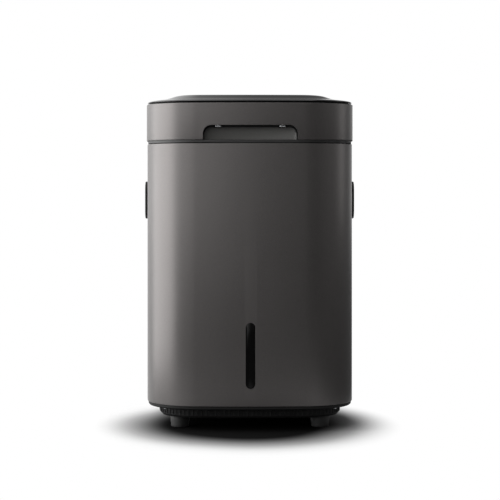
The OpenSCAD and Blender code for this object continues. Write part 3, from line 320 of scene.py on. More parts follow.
def make_materials(c):
    """One material for each slot of the record, and the window's tinted glass."""
    steel, zinc = tuple(c.steel), tuple(c.zinc)
    MATERIALS.update({
        "painted_shell": paint_finish("charcoal_paint", tuple(c.paint)),
        "gloss_black": gloss_finish("gloss_black_plastic", tuple(c.gloss)),
        "tinted_glass": gloss_finish("tinted_glass", shade(c.gloss, 0.12)[:3], 1.25),
        "black_moulding": moulded_finish("black_moulding", tuple(c.moulding), 0.55, ior=1.2),
        "grey_moulding": moulded_finish("grey_moulding", tuple(c.grey), 0.36),
        "foot_rubber": rubber_finish("foot_rubber", tuple(c.rubber)),
        "seal_rubber": rubber_finish("seal_rubber", shade(c.rubber, 0.8)[:3]),
        "zinc_steel": metal_finish("zinc_plated_steel", zinc, 0.34, (1.0, 1.0, 0.4)),
        "ground_steel": metal_finish("ground_steel", steel, 0.20, (0.1, 1.0, 1.0), 900),
        "stainless": metal_finish("brushed_stainless", steel, 0.30, (0.08, 1.0, 1.0), 600, 0.12),
        "cast_housing": metal_finish("die_cast_housing", (0.50, 0.51, 0.53), 0.48, grain=260, spread=0.14,
                                     depth=0.0001),
        "tub_plastic": moulded_finish("tub_moulding", tuple(c.tub), 0.38, 500, 0.00003),
        "nylon": moulded_finish("gear_nylon", (0.72, 0.69, 0.58), 0.40, 900, 0.00002),
        "brass": metal_finish("machined_brass", (0.72, 0.52, 0.20), 0.26, (0.1, 1.0, 1.0), 800),
        "motor_case": paint_finish("motor_case_paint", (0.10, 0.105, 0.115)),
        "circuit_board": board_finish("circuit_board", (0.01, 0.10, 0.04)),
        "heater_film": film_finish("heater_film", (0.55, 0.22, 0.05)),
        "sensor_shell": moulded_finish("sensor_moulding", (0.68, 0.68, 0.64), 0.35, 1100, 0.00003),
        "carbon": carbon_finish("carbon_cloth", (0.012, 0.012, 0.012)),
    })


# Geometry Nodes trees

def geometry_tree(name, inputs):
    """A tree with named inputs: its kit and a wire for each input."""
    tree = bpy.data.node_groups.new(name, "GeometryNodeTree")
    tree.interface.new_socket(name="Geometry", in_out="OUTPUT", socket_type="NodeSocketGeometry")
    for label, kind in {"Geometry": "Geometry", **inputs, "Material": "Material"}.items():
        tree.interface.new_socket(name=label, in_out="INPUT", socket_type="NodeSocket" + kind)
    kit = Kit(tree)
    group = kit.node("NodeGroupInput")
    return kit, {socket.name: Wire(kit, socket) for socket in group.outputs if socket.name}


def close_tree(kit, geometry, material):
    """Makes the instances real and gives them their material."""
    real = kit.out("GeometryNodeRealizeInstances", {0: geometry})
    done = kit.out("GeometryNodeSetMaterial", {"Geometry": real, "Material": material})
    kit.node("NodeGroupOutput", {0: done})
    return kit.tree


def row_tree():
    """The given shape, repeated along a step."""
    kit, wires = geometry_tree("row", {"Count": "Int", "Step": "Vector"})
    line = kit.out("GeometryNodeMeshLine", {"Count": wires["Count"], "Offset": wires["Step"]}, mode="OFFSET")
    row = kit.out("GeometryNodeInstanceOnPoints", {"Points": line, "Instance": wires["Geometry"]})
    return close_tree(kit, row, wires["Material"])


def rib_tree():
    """Upright ribs set at even distances along the given closed line."""
    kit, wires = geometry_tree("ribs_along_line",
                               {"Count": "Int", "Rib Radius": "Float", "Rib Height": "Float"})
    line = kit.out("GeometryNodeMeshToCurve", {"Mesh": wires["Geometry"]})
    even = kit.out("GeometryNodeResampleCurve", {"Curve": line, "Count": wires["Count"]})
    rib = kit.out("GeometryNodeMeshCylinder",
                  {"Vertices": 12, "Radius": wires["Rib Radius"], "Depth": wires["Rib Height"]})
    ribs = kit.out("GeometryNodeInstanceOnPoints", {"Points": even, "Instance": rib})
    return close_tree(kit, ribs, wires["Material"])


def screw_tree():
    """Screws with a cross recess on the given points, with their heads towards an axis."""
    kit, wires = geometry_tree("screws", {"Axis": "Vector", "Head Radius": "Float", "Head Height": "Float",
                                          "Shank Radius": "Float", "Shank Length": "Float"})
    radius, height, shank = wires["Head Radius"], wires["Head Height"], wires["Shank Length"]
    head = kit.out("GeometryNodeMeshCone",
                   {"Vertices": 24, "Radius Top": radius * 0.72, "Radius Bottom": radius, "Depth": height})
    cuts = []
    for turn in (0.0, math.pi / 2):
        size = kit.out("ShaderNodeCombineXYZ", {0: radius * 1.1, 1: radius * 0.22, 2: height})
        bar = kit.out("GeometryNodeMeshCube", {"Size": size})
        lift = kit.out("ShaderNodeCombineXYZ", {2: height * 0.9})
        cuts.append(kit.out("GeometryNodeTransform",
                            {"Geometry": bar, "Translation": lift, "Rotation": (0.0, 0.0, turn)}))
    for cut in cuts:
        node = kit.node("GeometryNodeMeshBoolean", {0: head}, operation="DIFFERENCE", solver="EXACT")
        kit.tree.links.new(cut.socket, node.inputs[1])
        head = Wire(kit, node.outputs[0])
    rod = kit.out("GeometryNodeMeshCylinder",
                  {"Vertices": 16, "Radius": wires["Shank Radius"], "Depth": shank})
    drop = kit.out("ShaderNodeCombineXYZ", {2: shank * -0.5})
    rod = kit.out("GeometryNodeTransform", {"Geometry": rod, "Translation": drop})
    whole = kit.node("GeometryNodeJoinGeometry")
    for part in (head, rod):
        kit.tree.links.new(part.socket, whole.inputs[0])
    turned = kit.out("FunctionNodeAlignRotationToVector", {"Vector": wires["Axis"]}, axis="Z")
    placed = kit.out("GeometryNodeInstanceOnPoints",
                     {"Points": wires["Geometry"], "Instance": Wire(kit, whole.outputs[0]),
                      "Rotation": turned})
    return close_tree(kit, placed, wires["Material"])


def grow(tree, seed, finish, **inputs):
    """What a Geometry Nodes tree makes of a mesh, as a plain mesh."""
    host = bpy.data.objects.new(tree.name, seed)
    bpy.context.scene.collection.objects.link(host)
    modifier = host.modifiers.new(tree.name, "NODES")
    modifier.node_group = tree
    names = {item.name.replace(" ", "_").lower(): item.identifier
             for item in tree.interface.items_tree if item.in_out == "INPUT"}
    for key, value in {**inputs, "material": MATERIALS[finish]}.items():
        modifier[names[key]] = value
    graph = bpy.context.evaluated_depsgraph_get()
    made = bpy.data.meshes.new_from_object(host.evaluated_get(graph), depsgraph=graph)
    host.modifiers.remove(modifier)
    bpy.data.objects.remove(host)
    if not made.polygons:
        raise RuntimeError(f"{tree.name} made no faces")
    return made


# Shapes

class Plan:
    """The cabinet seen from above: four bowed faces that run into round corners."""

    def __init__(self, sizes, bow_steps=8, corner_steps=36):
        bow, self.corner_r = sizes.face_bow, sizes.corner_r
        self.half_w, self.half_d = sizes.body_w / 2, sizes.body_d / 2
        self.corner_x = self.half_w - self.corner_r - bow
        self.corner_y = self.half_d - self.corner_r - bow
        self.front_r = self.corner_r + (self.corner_x ** 2 + bow ** 2) / (2 * bow)
        self.side_r = self.corner_r + (self.corner_y ** 2 + bow ** 2) / (2 * bow)
        a = math.asin(self.corner_y / (self.side_r - self.corner_r))
        b = math.pi / 2 - math.asin(self.corner_x / (self.front_r - self.corner_r))
        arcs = [(self.half_w - self.side_r, 0.0, self.side_r, 0.0, a, bow_steps),
                (self.corner_x, self.corner_y, self.corner_r, a, b, corner_steps),
                (0.0, self.half_d - self.front_r, self.front_r, b, math.pi / 2, bow_steps)]
        self.arcs = [(x, y, r, low + (high - low) * i / steps)
                     for x, y, r, low, high, steps in arcs for i in range(steps)]
        self.arcs.append((0.0, self.half_d - self.front_r, self.front_r, math.pi / 2))

    def ring(self, inset, z):
        q = [(x + (r - inset) * math.cos(a), y + (r - inset) * math.sin(a)) for x, y, r, a in self.arcs]
        around = (q + [(-x, y) for x, y in q[-2::-1]] + [(-x, -y) for x, y in q[1:]]
                  + [(x, -y) for x, y in q[-2:0:-1]])
        return [Vector((x, y, z)) for x, y in around]

    def loft(self, levels, closed=False):
        """A solid through rings round the body, one for each inset and height."""
        return loft([self.ring(inset, z) for inset, z in levels], closed)

    def rear_y(self, x, inset=0.0):
        return self.half_d - self.front_r + math.sqrt((self.front_r - inset) ** 2 - x * x)


def loft(rings, closed=False):
    """A solid through rings of points. Closed joins the last ring to the first, else both ends are capped."""
    mesh = bmesh.new()
    rows = [[mesh.verts.new(point) for point in ring] for ring in rings]
    for a, b in zip(rows, rows[1:] + rows[:1] if closed else rows[1:]):
        for i in range(len(a)):
            mesh.faces.new((a[i - 1], a[i], b[i], b[i - 1]))
    if not closed:
        mesh.faces.new(rows[0])
        mesh.faces.new(rows[-1])
    bmesh.ops.recalc_face_normals(mesh, faces=mesh.faces)
    return mesh


def filleted(points, radii, steps=5):
    """The section with a round of the given radius at each point; 0 keeps the point."""
    made = []
    for i, (point, radius) in enumerate(zip(points, radii)):
        p = Vector(point)
        if not radius:
            made.append(p)
            continue
        u = (Vector(points[i - 1]) - p).normalized()
        v = (Vector(points[(i + 1) % len(points)]) - p).normalized()
        half = u.angle(v) / 2
        centre = p + (u + v).normalized() * (radius / math.sin(half))
        start = p + u * (radius / math.tan(half)) - centre
        end = p + v * (radius / math.tan(half)) - centre
        turn = math.atan2(start.x * end.y - start.y * end.x, start.dot(end))
        made += [centre + Matrix.Rotation(turn * k / steps, 2) @ start for k in range(steps + 1)]
    return made


def smoothed(points, steps=4):
    """A finer line through the same points."""
    made = []
    for i in range(len(points) - 1):
        a, b = points[max(i - 1, 0)], points[i]
        c, d = points[i + 1], points[min(i + 2, len(points) - 1)]
        for k in range(steps):
            t = k / steps
            made.append(tuple(0.5 * (2 * q + (r - p) * t + (2 * p - 5 * q + 4 * r - s) * t * t
                                     + (3 * q - p - 3 * r + s) * t ** 3) for p, q, r, s in zip(a, b, c, d)))
    return made + [tuple(points[-1])]


def rounded_rect(w, h, r, middle=(0.0, 0.0), steps=8, spans=1):
    """Points of a rectangle with round corners, its edges cut into spans."""
    corners = []
    for c in range(4):
        x = middle[0] + (w / 2 - r) * (1 if c in (0, 3) else -1)
        y = middle[1] + (h / 2 - r) * (1 if c < 2 else -1)
        angles = [math.pi / 2 * (c + i / steps) for i in range(steps + 1)]
        corners.append([(x + r * math.cos(a), y + r * math.sin(a)) for a in angles])
    points = []
    for c, corner in enumerate(corners):
        (x0, y0), (x1, y1) = corner[-1], corners[(c + 1) % 4][0]
        points += corner
        points += [(x0 + (x1 - x0) * k / spans, y0 + (y1 - y0) * k / spans) for k in range(1, spans)]
    return points


def facing(points, axis, at):
    """Flat points stood up across an axis."""
    slot = "xyz".index(axis)
    return [Vector((*point[:slot], at, *point[slot:])) for point in points]


def prism(points, axis, low, high):
    return loft([facing(points, axis, low), facing(points, axis, high)])


def box(low, high):
    (x0, y0, z0), (x1, y1, z1) = low, high
    return prism([(x0, y0), (x1, y0), (x1, y1), (x0, y1)], "z", z0, z1)


def circle(x, y, r, count=96):
    angles = [2 * math.pi * i / count for i in range(count)]
    return [(x + r * math.cos(a), y + r * math.sin(a)) for a in angles]


def plain(mesh, name="shape"):
    """A bmesh as a mesh."""
    data = bpy.data.meshes.new(name)
    mesh.to_mesh(data)
    mesh.free()
    return data


def moved(mesh, offset):
    """The shape, moved by the offset."""
    bmesh.ops.translate(mesh, vec=offset, verts=mesh.verts)
    return mesh


def joined(*meshes):
    """Several bmeshes or meshes as one bmesh."""
    whole = bmesh.new()
    for mesh in meshes:
        data = mesh if isinstance(mesh, bpy.types.Mesh) else plain(mesh)
        whole.from_mesh(data)
        bpy.data.meshes.remove(data)
    return whole


def carved(mesh, *cutters):
    """The shape with the cutters taken out of it."""
    host = bpy.data.objects.new("host", plain(mesh))
    tools = [bpy.data.objects.new("cutter", cutter if isinstance(cutter, bpy.types.Mesh) else plain(cutter))
             for cutter in cutters]
    for thing in (host, *tools):
        bpy.context.scene.collection.objects.link(thing)
    for tool in tools:
        cut = host.modifiers.new("cut", "BOOLEAN")
        cut.object, cut.operation, cut.solver = tool, "DIFFERENCE", "EXACT"
    graph = bpy.context.evaluated_depsgraph_get()
    made = bpy.data.meshes.new_from_object(host.evaluated_get(graph), depsgraph=graph)
    for thing in (host, *tools):
        bpy.data.objects.remove(thing)
    if not made.polygons:
        raise RuntimeError("a cut left nothing")
    shape = bmesh.new()
    shape.from_mesh(made)
    bpy.data.meshes.remove(made)
    return shape


def piece(name, shape, slot, body, *nodes, finish=None):
    """A finished piece at the origin, which rides on its body and stands for its CAD nodes."""
    data = shape if isinstance(shape, bpy.types.Mesh) else plain(shape, name)
    data.name = name
    data.shade_smooth()
    data.set_sharp_from_angle(angle=math.radians(35.0))
    data.materials.clear()
    data.materials.append(MATERIALS[finish or slot])
    thing = bpy.data.objects.new(name, data)
    bpy.context.scene.collection.objects.link(thing)
    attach(thing, body)
    if nodes:
        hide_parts(*nodes)
    return thing


# Operators

PAST = 0.17        # where a cutter ends outside the body, from the middle
CORNERS = [(x, y) for x in (-1, 1) for y in (-1, 1)]


class MouldingOperator:
    """What the operators share: each builds its pieces from the panel's sizes."""
    bl_options = {"REGISTER", "UNDO"}

    def execute(self, context):
        make = context.scene.composter
        self.build(make, make.cabinet, make.lid, Plan(make.cabinet))
        return {"FINISHED"}


class COMPOSTER_OT_finishes(MouldingOperator, bpy.types.Operator):
    """Make the materials and give them to the CAD pieces that stay in sight"""
    bl_idname = "composter.finishes"
    bl_label = "Finishes"

    def build(self, make, cabinet, lid, plan):
        make_materials(make.colours)
        for row in frame["record"]["subparts"]:
            thing = frame["nodes"][row["node"]]
            for slot in thing.material_slots:
                slot.material = MATERIALS[row["material_slot"]]


class COMPOSTER_OT_shell(MouldingOperator, bpy.types.Operator):
    """Build the painted shell with its window, grip, filter and inlet openings"""
    bl_idname = "composter.shell"
    bl_label = "Outer shell"

    def build(self, make, cabinet, lid, plan):
        wall, low, high = cabinet.wall, cabinet.shell_z, cabinet.shell_top
        outer_round, inner_round = 0.0008, 0.0004
        section = filleted([(0, low), (0, high), (wall, high), (wall, low)],
                           [outer_round, outer_round, inner_round, inner_round])
        shell = plan.loft(section, closed=True)
        slack, lap = 0.0003, 0.0094     # play round the window, and how far the grip's rim covers its hole
        w, h = cabinet.window_w, cabinet.window_h
        window = rounded_rect(w + slack, h + slack, w / 2 + 0.0001, (0, cabinet.window_z + h / 2), 24)
        grip = rounded_rect(cabinet.grip_l - lap, cabinet.grip_h - lap, 0.0093,
                            (0, cabinet.grip_z + cabinet.grip_h / 2))
        front, flank, rear = -0.145, 0.13, 0.148        # where the cutters start inside the wall
        half, low = cabinet.filter_w / 2, cabinet.filter_z
        inlet_low, inlet_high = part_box("mains_inlet")
        frame_x, frame_z = 0.006, 0.003                 # the inlet's flange outside its opening
        shell = carved(shell, prism(window, "y", -PAST, front),
                       prism(grip, "x", -PAST, -flank), prism(grip, "x", flank, PAST),
                       box((-half, rear, low), (half, PAST, low + cabinet.filter_h)),
                       box((inlet_low.x + frame_x, rear, inlet_low.z + frame_z),
                           (inlet_high.x - frame_x, PAST, inlet_high.z - frame_z)))
        piece("painted_shell", shell, "painted_shell", "cabinet", "outer_shell")


class COMPOSTER_OT_base(MouldingOperator, bpy.types.Operator):
    """Build the base moulding with its rim, plinth, ribs and floor vents"""
    bl_idname = "composter.base"
    bl_label = "Base"

    def build(self, make, cabinet, lid, plan):
        rim, step, low = cabinet.rim_inset, cabinet.plinth_inset, cabinet.plinth_z
        top, wall = cabinet.shell_z, 0.0025
        rim_z = top - cabinet.rim_h
        corners = {(step + 0.02, low): 0, (step + 0.0032, low): 0.0008, (step + 0.0005, low + 0.003): 0.001,
                   (step, rim_z - 0.0025): 0.0006, (step - 0.001, rim_z - 0.001): 0.0003,
                   (rim + 0.0015, rim_z): 0.0007, (rim, rim_z + 0.0015): 0.0007, (rim, top): 0}
        outside = filleted(list(corners), list(corners.values()), 4)
        inside = [(rim + wall, top), (rim + wall, rim_z + wall), (step + 0.0035, rim_z + wall),
                  (step + 0.0035, low + wall)]
        tray = plan.loft(outside + [Vector(p) for p in inside])
        pitch, first = 0.008, -0.044
        vent = prism(rounded_rect(0.0035, 0.046, 0.0017), "z", low - 0.001, low + 0.004)
        vents = grow(row_tree(), plain(moved(vent, (first, 0, 0))), "black_moulding",
                     count=12, step=(pitch, 0.0, 0.0))
        base = [carved(tray, vents)]
        button_x, button_z = 0.057, low + 0.0085
        for x in (-button_x, button_x):
            front = step - plan.rear_y(x)
            rings = [(0.0024, front + 0.002), (0.0024, front - 0.0003), (0.0019, front - 0.0008)]
            base.append(loft([facing(circle(x, button_z, r, 32), "y", y) for r, y in rings]))
        line = bpy.data.meshes.new("plinth_line")
        points = plan.ring(step + 0.0002, low + 0.0075)
        line.from_pydata(points, [(i, (i + 1) % len(points)) for i in range(len(points))], [])
        base.append(grow(rib_tree(), line, "black_moulding", count=150, rib_radius=0.0009, rib_height=0.007))
        piece("base_moulding", joined(*base), "black_moulding", "cabinet", "base_tray")


class COMPOSTER_OT_feet(MouldingOperator, bpy.types.Operator):
    """Build the four tapered rubber feet"""
    bl_idname = "composter.feet"
    bl_label = "Feet"

    def build(self, make, cabinet, lid, plan):
        r, top = cabinet.foot_r, cabinet.plinth_z
        bore, pocket, seat, taper = 0.0022, 0.0050, 0.0052, 0.0016      # for a screw, its head and the sides
        section = filleted([(bore, seat), (pocket, seat), (pocket, 0.0), (r - taper, 0.0), (r, top),
                            (bore, top)], [0, 0.0004, 0.0008, 0.0018, 0.0006, 0])
        feet = [loft([facing(circle(x * cabinet.foot_x, y * cabinet.foot_y, radius), "z", z)
                      for radius, z in section], closed=True) for x, y in CORNERS]
        piece("rubber_feet", joined(*feet), "foot_rubber", "cabinet",
              "front_left_foot", "front_right_foot", "rear_left_foot", "rear_right_foot")


class COMPOSTER_OT_window(MouldingOperator, bpy.types.Operator):
    """Build the capsule window with its softened rim"""
    bl_idname = "composter.window"
    bl_label = "Window"

    def build(self, make, cabinet, lid, plan):
        w, h = cabinet.window_w, cabinet.window_h
        middle = (0, cabinet.window_z + h / 2)
        front = -plan.rear_y(0) + 0.0002
        flange, step, back = 0.0030, 0.0032, 0.006
        levels = [(flange, back), (flange, step), (0.0, step), (0.0, 0.0010), (-0.0002, 0.0004),
                  (-0.0006, 0.0001), (-0.0011, 0.0)]
        rings = [facing(rounded_rect(w + 2 * g, h + 2 * g, w / 2 + g - 0.00001, middle, 24), "y", front + y)
                 for g, y in levels]
        piece("window_glass", loft(rings), "gloss_black", "cabinet", "window_lens", finish="tinted_glass")


class COMPOSTER_OT_grips(MouldingOperator, bpy.types.Operator):
    """Build the two side grips with their rims and finger hollows"""
    bl_idname = "composter.grips"
    bl_label = "Side grips"

    def build(self, make, cabinet, lid, plan):
        l, h, z = cabinet.grip_l, cabinet.grip_h, cabinet.grip_z + cabinet.grip_h / 2
        out = plan.half_w
        face, back, throat = out + cabinet.grip_proud, out - 0.0035, out - 0.0065
        rim = filleted([(0, back), (0, face), (-0.011, face), (-0.011, throat)], [0, 0.0013, 0.0018, 0.0008])
        levels = ([(-0.0050, out - 0.0264), (-0.0050, back)] + [tuple(p) for p in rim]
                  + [(-0.0075, throat), (-0.0075, out - 0.0225), (-0.0095, out - 0.0238)])
        droop, droop_from, droop_over = -0.003, -0.004, 0.007       # the rim is widest at its upper side
        for side, name in ((-1, "left_grip"), (1, "right_grip")):
            rings = []
            for g, x in levels:
                share = min(1.0, max(0.0, (droop_from - g) / droop_over)) if x > throat - 0.0003 else 0.0
                middle, corner = (0, z + droop * share), max(0.014 + g, 0.0028)
                rings.append(facing(rounded_rect(l + 2 * g, h + 2 * g, corner, middle, 10), "x", side * x))
            piece(f"{name}_moulding", loft(rings), "black_moulding", "cabinet", name)


class COMPOSTER_OT_lid_skirt(MouldingOperator, bpy.types.Operator):
    """Build the painted lid skirt with its pull notch and hinge slots"""
    bl_idname = "composter.lid_skirt"
    bl_label = "Lid skirt"

    def build(self, make, cabinet, lid, plan):
        low, top, out, wall = lid.skirt_z, lid.skirt_top, -lid.proud, cabinet.wall
        shelf = 0.019                   # how far the skirt's top runs in under the panel
        section = filleted([(out, low), (out, top), (shelf, top), (shelf, top - wall),
                            (out + wall, top - wall - 0.002), (out + wall, low)],
                           [0.0007, lid.edge_r, 0, 0, 0.001, 0.0004], 8)
        ear, inner = 0.006, 0.13
        slots = [box((x - ear, inner, low - 0.02), (x + ear, PAST, lid.hinge_z + 0.009))
                 for x in (-lid.hinge_span / 2, lid.hinge_span / 2)]
        skirt = carved(plan.loft(section, closed=True),
                       prism(pull_outline(lid, 0), "y", -PAST, -inner), *slots)
        piece("painted_lid_skirt", skirt, "painted_shell", "lid", "lid_skirt")
        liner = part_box("lid_liner")[0].z
        out, back, under, over = 0.0011, 0.0040, liner - 0.0015, low - 0.0004
        section = filleted([(out, under), (out, over), (back, over), (back, under)], [0.0005, 0.0003, 0, 0])
        rear, wide = lid.hinge_y - 0.020, 0.2       # the band ends before the hinges
        band = carved(plan.loft(section, closed=True),
                      box((-wide, rear, liner - 0.01), (wide, wide, low + 0.01)))
        piece("liner_band", band, "seal_rubber", "lid")


def notch_outline(lid, w, h, r):
    """An outline like the pull recess's, which runs out of the skirt's lower edge."""
    below = 0.015
    return rounded_rect(w, 2 * (h + below), r, (0, lid.skirt_z - below), 16)


def pull_outline(lid, grown):
    return notch_outline(lid, lid.pull_w + 2 * grown, lid.pull_h + grown, lid.pull_r + grown)


class COMPOSTER_OT_pull_cup(MouldingOperator, bpy.types.Operator):
    """Build the cup behind the pull recess"""
    bl_idname = "composter.pull_cup"
    bl_label = "Pull cup"

    def build(self, make, cabinet, lid, plan):
        gap, wall, reach = 0.0003, 0.002, 0.08
        low, back = lid.skirt_z + gap, -plan.half_d + lid.pull_d
        front = cabinet.wall - lid.proud + gap
        skirt_side = plan.loft([(front, low - 0.09), (front, lid.skirt_top),
                                        (-0.05, lid.skirt_top), (-0.05, low - 0.09)], closed=True)

        def underneath():
            return plan.loft([(-0.02, low - reach), (-0.02, low)])

        cup = carved(prism(pull_outline(lid, wall), "y", -PAST, back), underneath(), skirt_side)
        cove = smoothed([(0.0, 0.0, 0.007), (0.001, 0.0004, 0.0036), (0.0032, 0.0014, 0.0011),
                         (0.007, 0.003, 0.0)])
        levels = [(0.0, 0.0, -PAST)] + [(side, top, back - wall - before) for side, top, before in cove]
        hollow = loft([facing(notch_outline(lid, lid.pull_w - 2 * side, lid.pull_h - top, lid.pull_r), "y", y)
                       for side, top, y in levels])
        piece("pull_cup_moulding", carved(cup, hollow), "grey_moulding", "lid", "pull_cup")
        # A black strip round the notch, set in the gap between skirt and cup: it paints the gap's shadow.
        front, thick = -plan.half_d + 0.0082, 0.005
        inner = notch_outline(lid, lid.pull_w - 0.0032, lid.pull_h - 0.0030, lid.pull_r - 0.0012)
        edge = carved(prism(pull_outline(lid, -0.0001), "y", front, front + thick),
                      prism(inner, "y", front - 2 * thick, front + 2 * thick), underneath())
        piece("pull_cup_edge", edge, "black_moulding", "lid")


class COMPOSTER_OT_lid_panel(MouldingOperator, bpy.types.Operator):
    """Build the raised glossy panel with its soft shoulders, and a black ring under its edge that paints the
    shade of the gap
    """
    bl_idname = "composter.lid_panel"
    bl_label = "Raised panel"

    def build(self, make, cabinet, lid, plan):
        top, inset, rim = lid.skirt_top, lid.panel_inset, lid.rim
        under, over = top + rim, top + lid.panel_h
        plug, neck, hollow, gap = 0.0193, 0.0090, 0.038, 0.0001
        flat = [(0.0010, under), (0.0006, under + 0.0003), (0.0006, under + 0.0007), (0.0014, under + 0.0014),
                (0.0034, under + 0.0021), (0.008, under + 0.0029), (0.016, under + 0.0039),
                (inset, under + 0.0050)]
        crown = [(inset + 0.008, over - 0.0044), (inset + 0.016, over - 0.0019),
                 (inset + 0.023, over - 0.0007), (inset + 0.032, over - 0.0002), (inset + 0.044, over)]
        foot = [(plug, top - 0.0022), (plug, top + gap), (neck, top + gap), (neck, under)]
        body = carved(plan.loft(foot + smoothed(flat + crown)),
                      plan.loft([(hollow, top - 0.003), (hollow, over - 0.005)]))
        piece("gloss_panel", body, "gloss_black", "lid", "lid_panel")
        # A black ring in the gap under the panel's edge: it paints the gap's shade.
        out, back = 0.0060, 0.0088
        painted_gap_shade = [(out, top + gap), (out, under - gap), (back, under - gap), (back, top + gap)]
        piece("panel_seal_ring", plan.loft(painted_gap_shade, closed=True), "black_moulding", "lid")


class COMPOSTER_OT_rear_cover(MouldingOperator, bpy.types.Operator):
    """Build the rear cover of the filter unit with its louvres and finger notch"""
    bl_idname = "composter.rear_cover"
    bl_label = "Rear cover"

    def build(self, make, cabinet, lid, plan):
        gap, wall, middle = 0.0012, cabinet.wall, cabinet.filter_z + cabinet.filter_h / 2
        w, h = cabinet.filter_w - gap, cabinet.filter_h - gap
        field_w, field_h, field = cabinet.filter_w - 0.032, cabinet.filter_h - 0.034, middle - 0.003
        levels = [(w, h, middle, 0.002, wall), (w, h, middle, 0.002, 0.0006),
                  (w - 0.0004, h - 0.0004, middle, 0.002, 0.0002),
                  (w - 0.0012, h - 0.0012, middle, 0.002, 0.0),
                  (field_w + 0.001, field_h + 0.001, field, 0.0025, 0.0),
                  (field_w, field_h, field, 0.002, 0.0005), (field_w, field_h, field, 0.002, wall)]
        surround = loft([[Vector((x, plan.rear_y(x, depth), z))
                          for x, z in rounded_rect(a, b, r, (0, at), 5, 24)]
                         for a, b, at, r, depth in levels], closed=True)
        notch, notch_r = bmesh.new(), 0.009
        place = Matrix.Translation((0, plan.half_d + 0.003, middle + cabinet.filter_h / 2 - 0.010))
        bmesh.ops.create_uvsphere(notch, u_segments=48, v_segments=24, radius=notch_r, matrix=place)
        surround = carved(surround, notch)
        pitch = (cabinet.filter_h - 0.036) / cabinet.louvres
        low, face, lap, spans = field - field_h / 2 - 0.001, 0.0001, 0.0002, 32
        blade = filleted([(face, 0.0), (face, 0.0049), (wall, 0.0037), (wall, -0.0012)], [0.0005] * 4, 3)
        places = [-field_w / 2 - lap + (field_w + 2 * lap) * i / spans for i in range(spans + 1)]
        blade = loft([[Vector((x, plan.rear_y(x, depth), low + z)) for depth, z in blade] for x in places])
        blades = grow(row_tree(), plain(blade), "black_moulding",
                      count=cabinet.louvres + 1, step=(0.0, 0.0, pitch))
        start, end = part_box("filter_frame")[1].y, plan.rear_y(cabinet.filter_w / 2, wall / 2)
        stay_w, stay_h = 0.004, 0.006
        stays = [box((x, start, z), (x + stay_w, end, z + stay_h)) for x in (-0.0674, 0.0634)
                 for z in (cabinet.filter_z + 0.008, cabinet.filter_z + cabinet.filter_h - 0.014)]
        piece("rear_cover_moulding", joined(surround, blades, *stays), "black_moulding", "filter_unit",
              "rear_cover")


class COMPOSTER_OT_screws(MouldingOperator, bpy.types.Operator):
    """Put cross-head screws in the base, the feet, the deck and the lid"""
    bl_idname = "composter.screws"
    bl_label = "Screws"

    def build(self, make, cabinet, lid, plan):
        tree = screw_tree()
        up, down = (0.0, 0.0, 1.0), (0.0, 0.0, -1.0)

        def put(name, body, *sets):
            grown = []
            for points, axis, radius, height, shank, reach in sets:
                seed = bpy.data.meshes.new("screw_places")
                seed.from_pydata(points, [], [])
                grown.append(grow(tree, seed, "zinc_steel", axis=axis, head_radius=radius, head_height=height,
                                  shank_radius=shank, shank_length=reach))
            piece(f"{name}_set", joined(*grown), "zinc_steel", body, name)

        radius, head, shank = 0.0032, 0.0022, 0.00155
        low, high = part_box("deck_screws")
        places = [(x * (high.x - radius), y * (high.y - radius)) for x, y in CORNERS]
        put("deck_screws", "cabinet", ([(x, y, high.z - head) for x, y in places], up, radius, head, shank,
                                       high.z - low.z - head))
        low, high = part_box("base_screws")
        rim, sunk, foot_seat = cabinet.shell_z - cabinet.rim_h, 0.0010, 0.005
        feet = [(x * cabinet.foot_x, y * cabinet.foot_y, foot_seat) for x, y in CORNERS]
        put("base_screws", "cabinet",
            ([(x, y, rim + sunk) for x, y in places], down, radius, head, shank, high.z - rim - sunk),
            (feet, down, 0.0042, 0.0026, 0.0019, cabinet.plinth_z + 0.0095 - foot_seat))
        low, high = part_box("lid_screws")
        inset, head = 0.0115, 0.0016
        post = (plan.corner_r - inset) * math.sqrt(0.5)
        posts = [(x * (plan.corner_x + post), y * (plan.corner_y + post), low.z + head) for x, y in CORNERS]
        posts += [(x * (plan.half_w - inset), 0.0, low.z + head) for x in (-1, 1)]
        put("lid_screws", "lid", (posts, down, 0.0026, head, 0.00135, high.z - low.z - head))


LAMPS = {       # the place of each lamp, what it faces, and its width and height
    "top_lamp": ((0.0, 0.2, 2.2), (0.0, 0.2, 0.0), (1.2, 1.0)),
    "side_lamp": ((-0.55, -0.125, 0.38), (0.0, -0.125, 0.38), (0.56, 1.1)),
    "right_lamp": ((0.8, 0.05, 0.62), (0.0, 0.0, 0.4), (0.22, 0.6)),
}


class COMPOSTER_OT_stage(MouldingOperator, bpy.types.Operator):
    """Build the floor, the room, the lamps and the camera"""
    bl_idname = "composter.stage"
    bl_label = "Stage"

    def build(self, make, cabinet, lid, plan):
        studio = make.studio
        scene = bpy.context.scene
        floor = bpy.data.objects.new("floor", plain(disc(14.0, 96)))
        floor.data.materials.append(floor_finish())
        scene.collection.objects.link(floor)
        room_finish(scene, studio.room)
        for name, place in LAMPS.items():
            lamp(name, *place, getattr(studio, name))
        data = bpy.data.cameras.new("camera")
        data.lens, data.shift_y = studio.lens, studio.shift_y
        camera = bpy.data.objects.new("camera", data)
        camera.location = studio.camera_place
        camera.rotation_euler = (math.pi / 2, 0.0, -studio.camera_turn)
        scene.collection.objects.link(camera)
        scene.camera = camera
        scene.view_settings.view_transform = "Standard"


WHITE = (1.0, 1.0, 1.0, 1.0)


def disc(radius, count):
    """A flat round plate."""
    mesh = bmesh.new()
    mesh.faces.new([mesh.verts.new((x, y, 0.0)) for x, y in circle(0.0, 0.0, radius, count)])
    return mesh


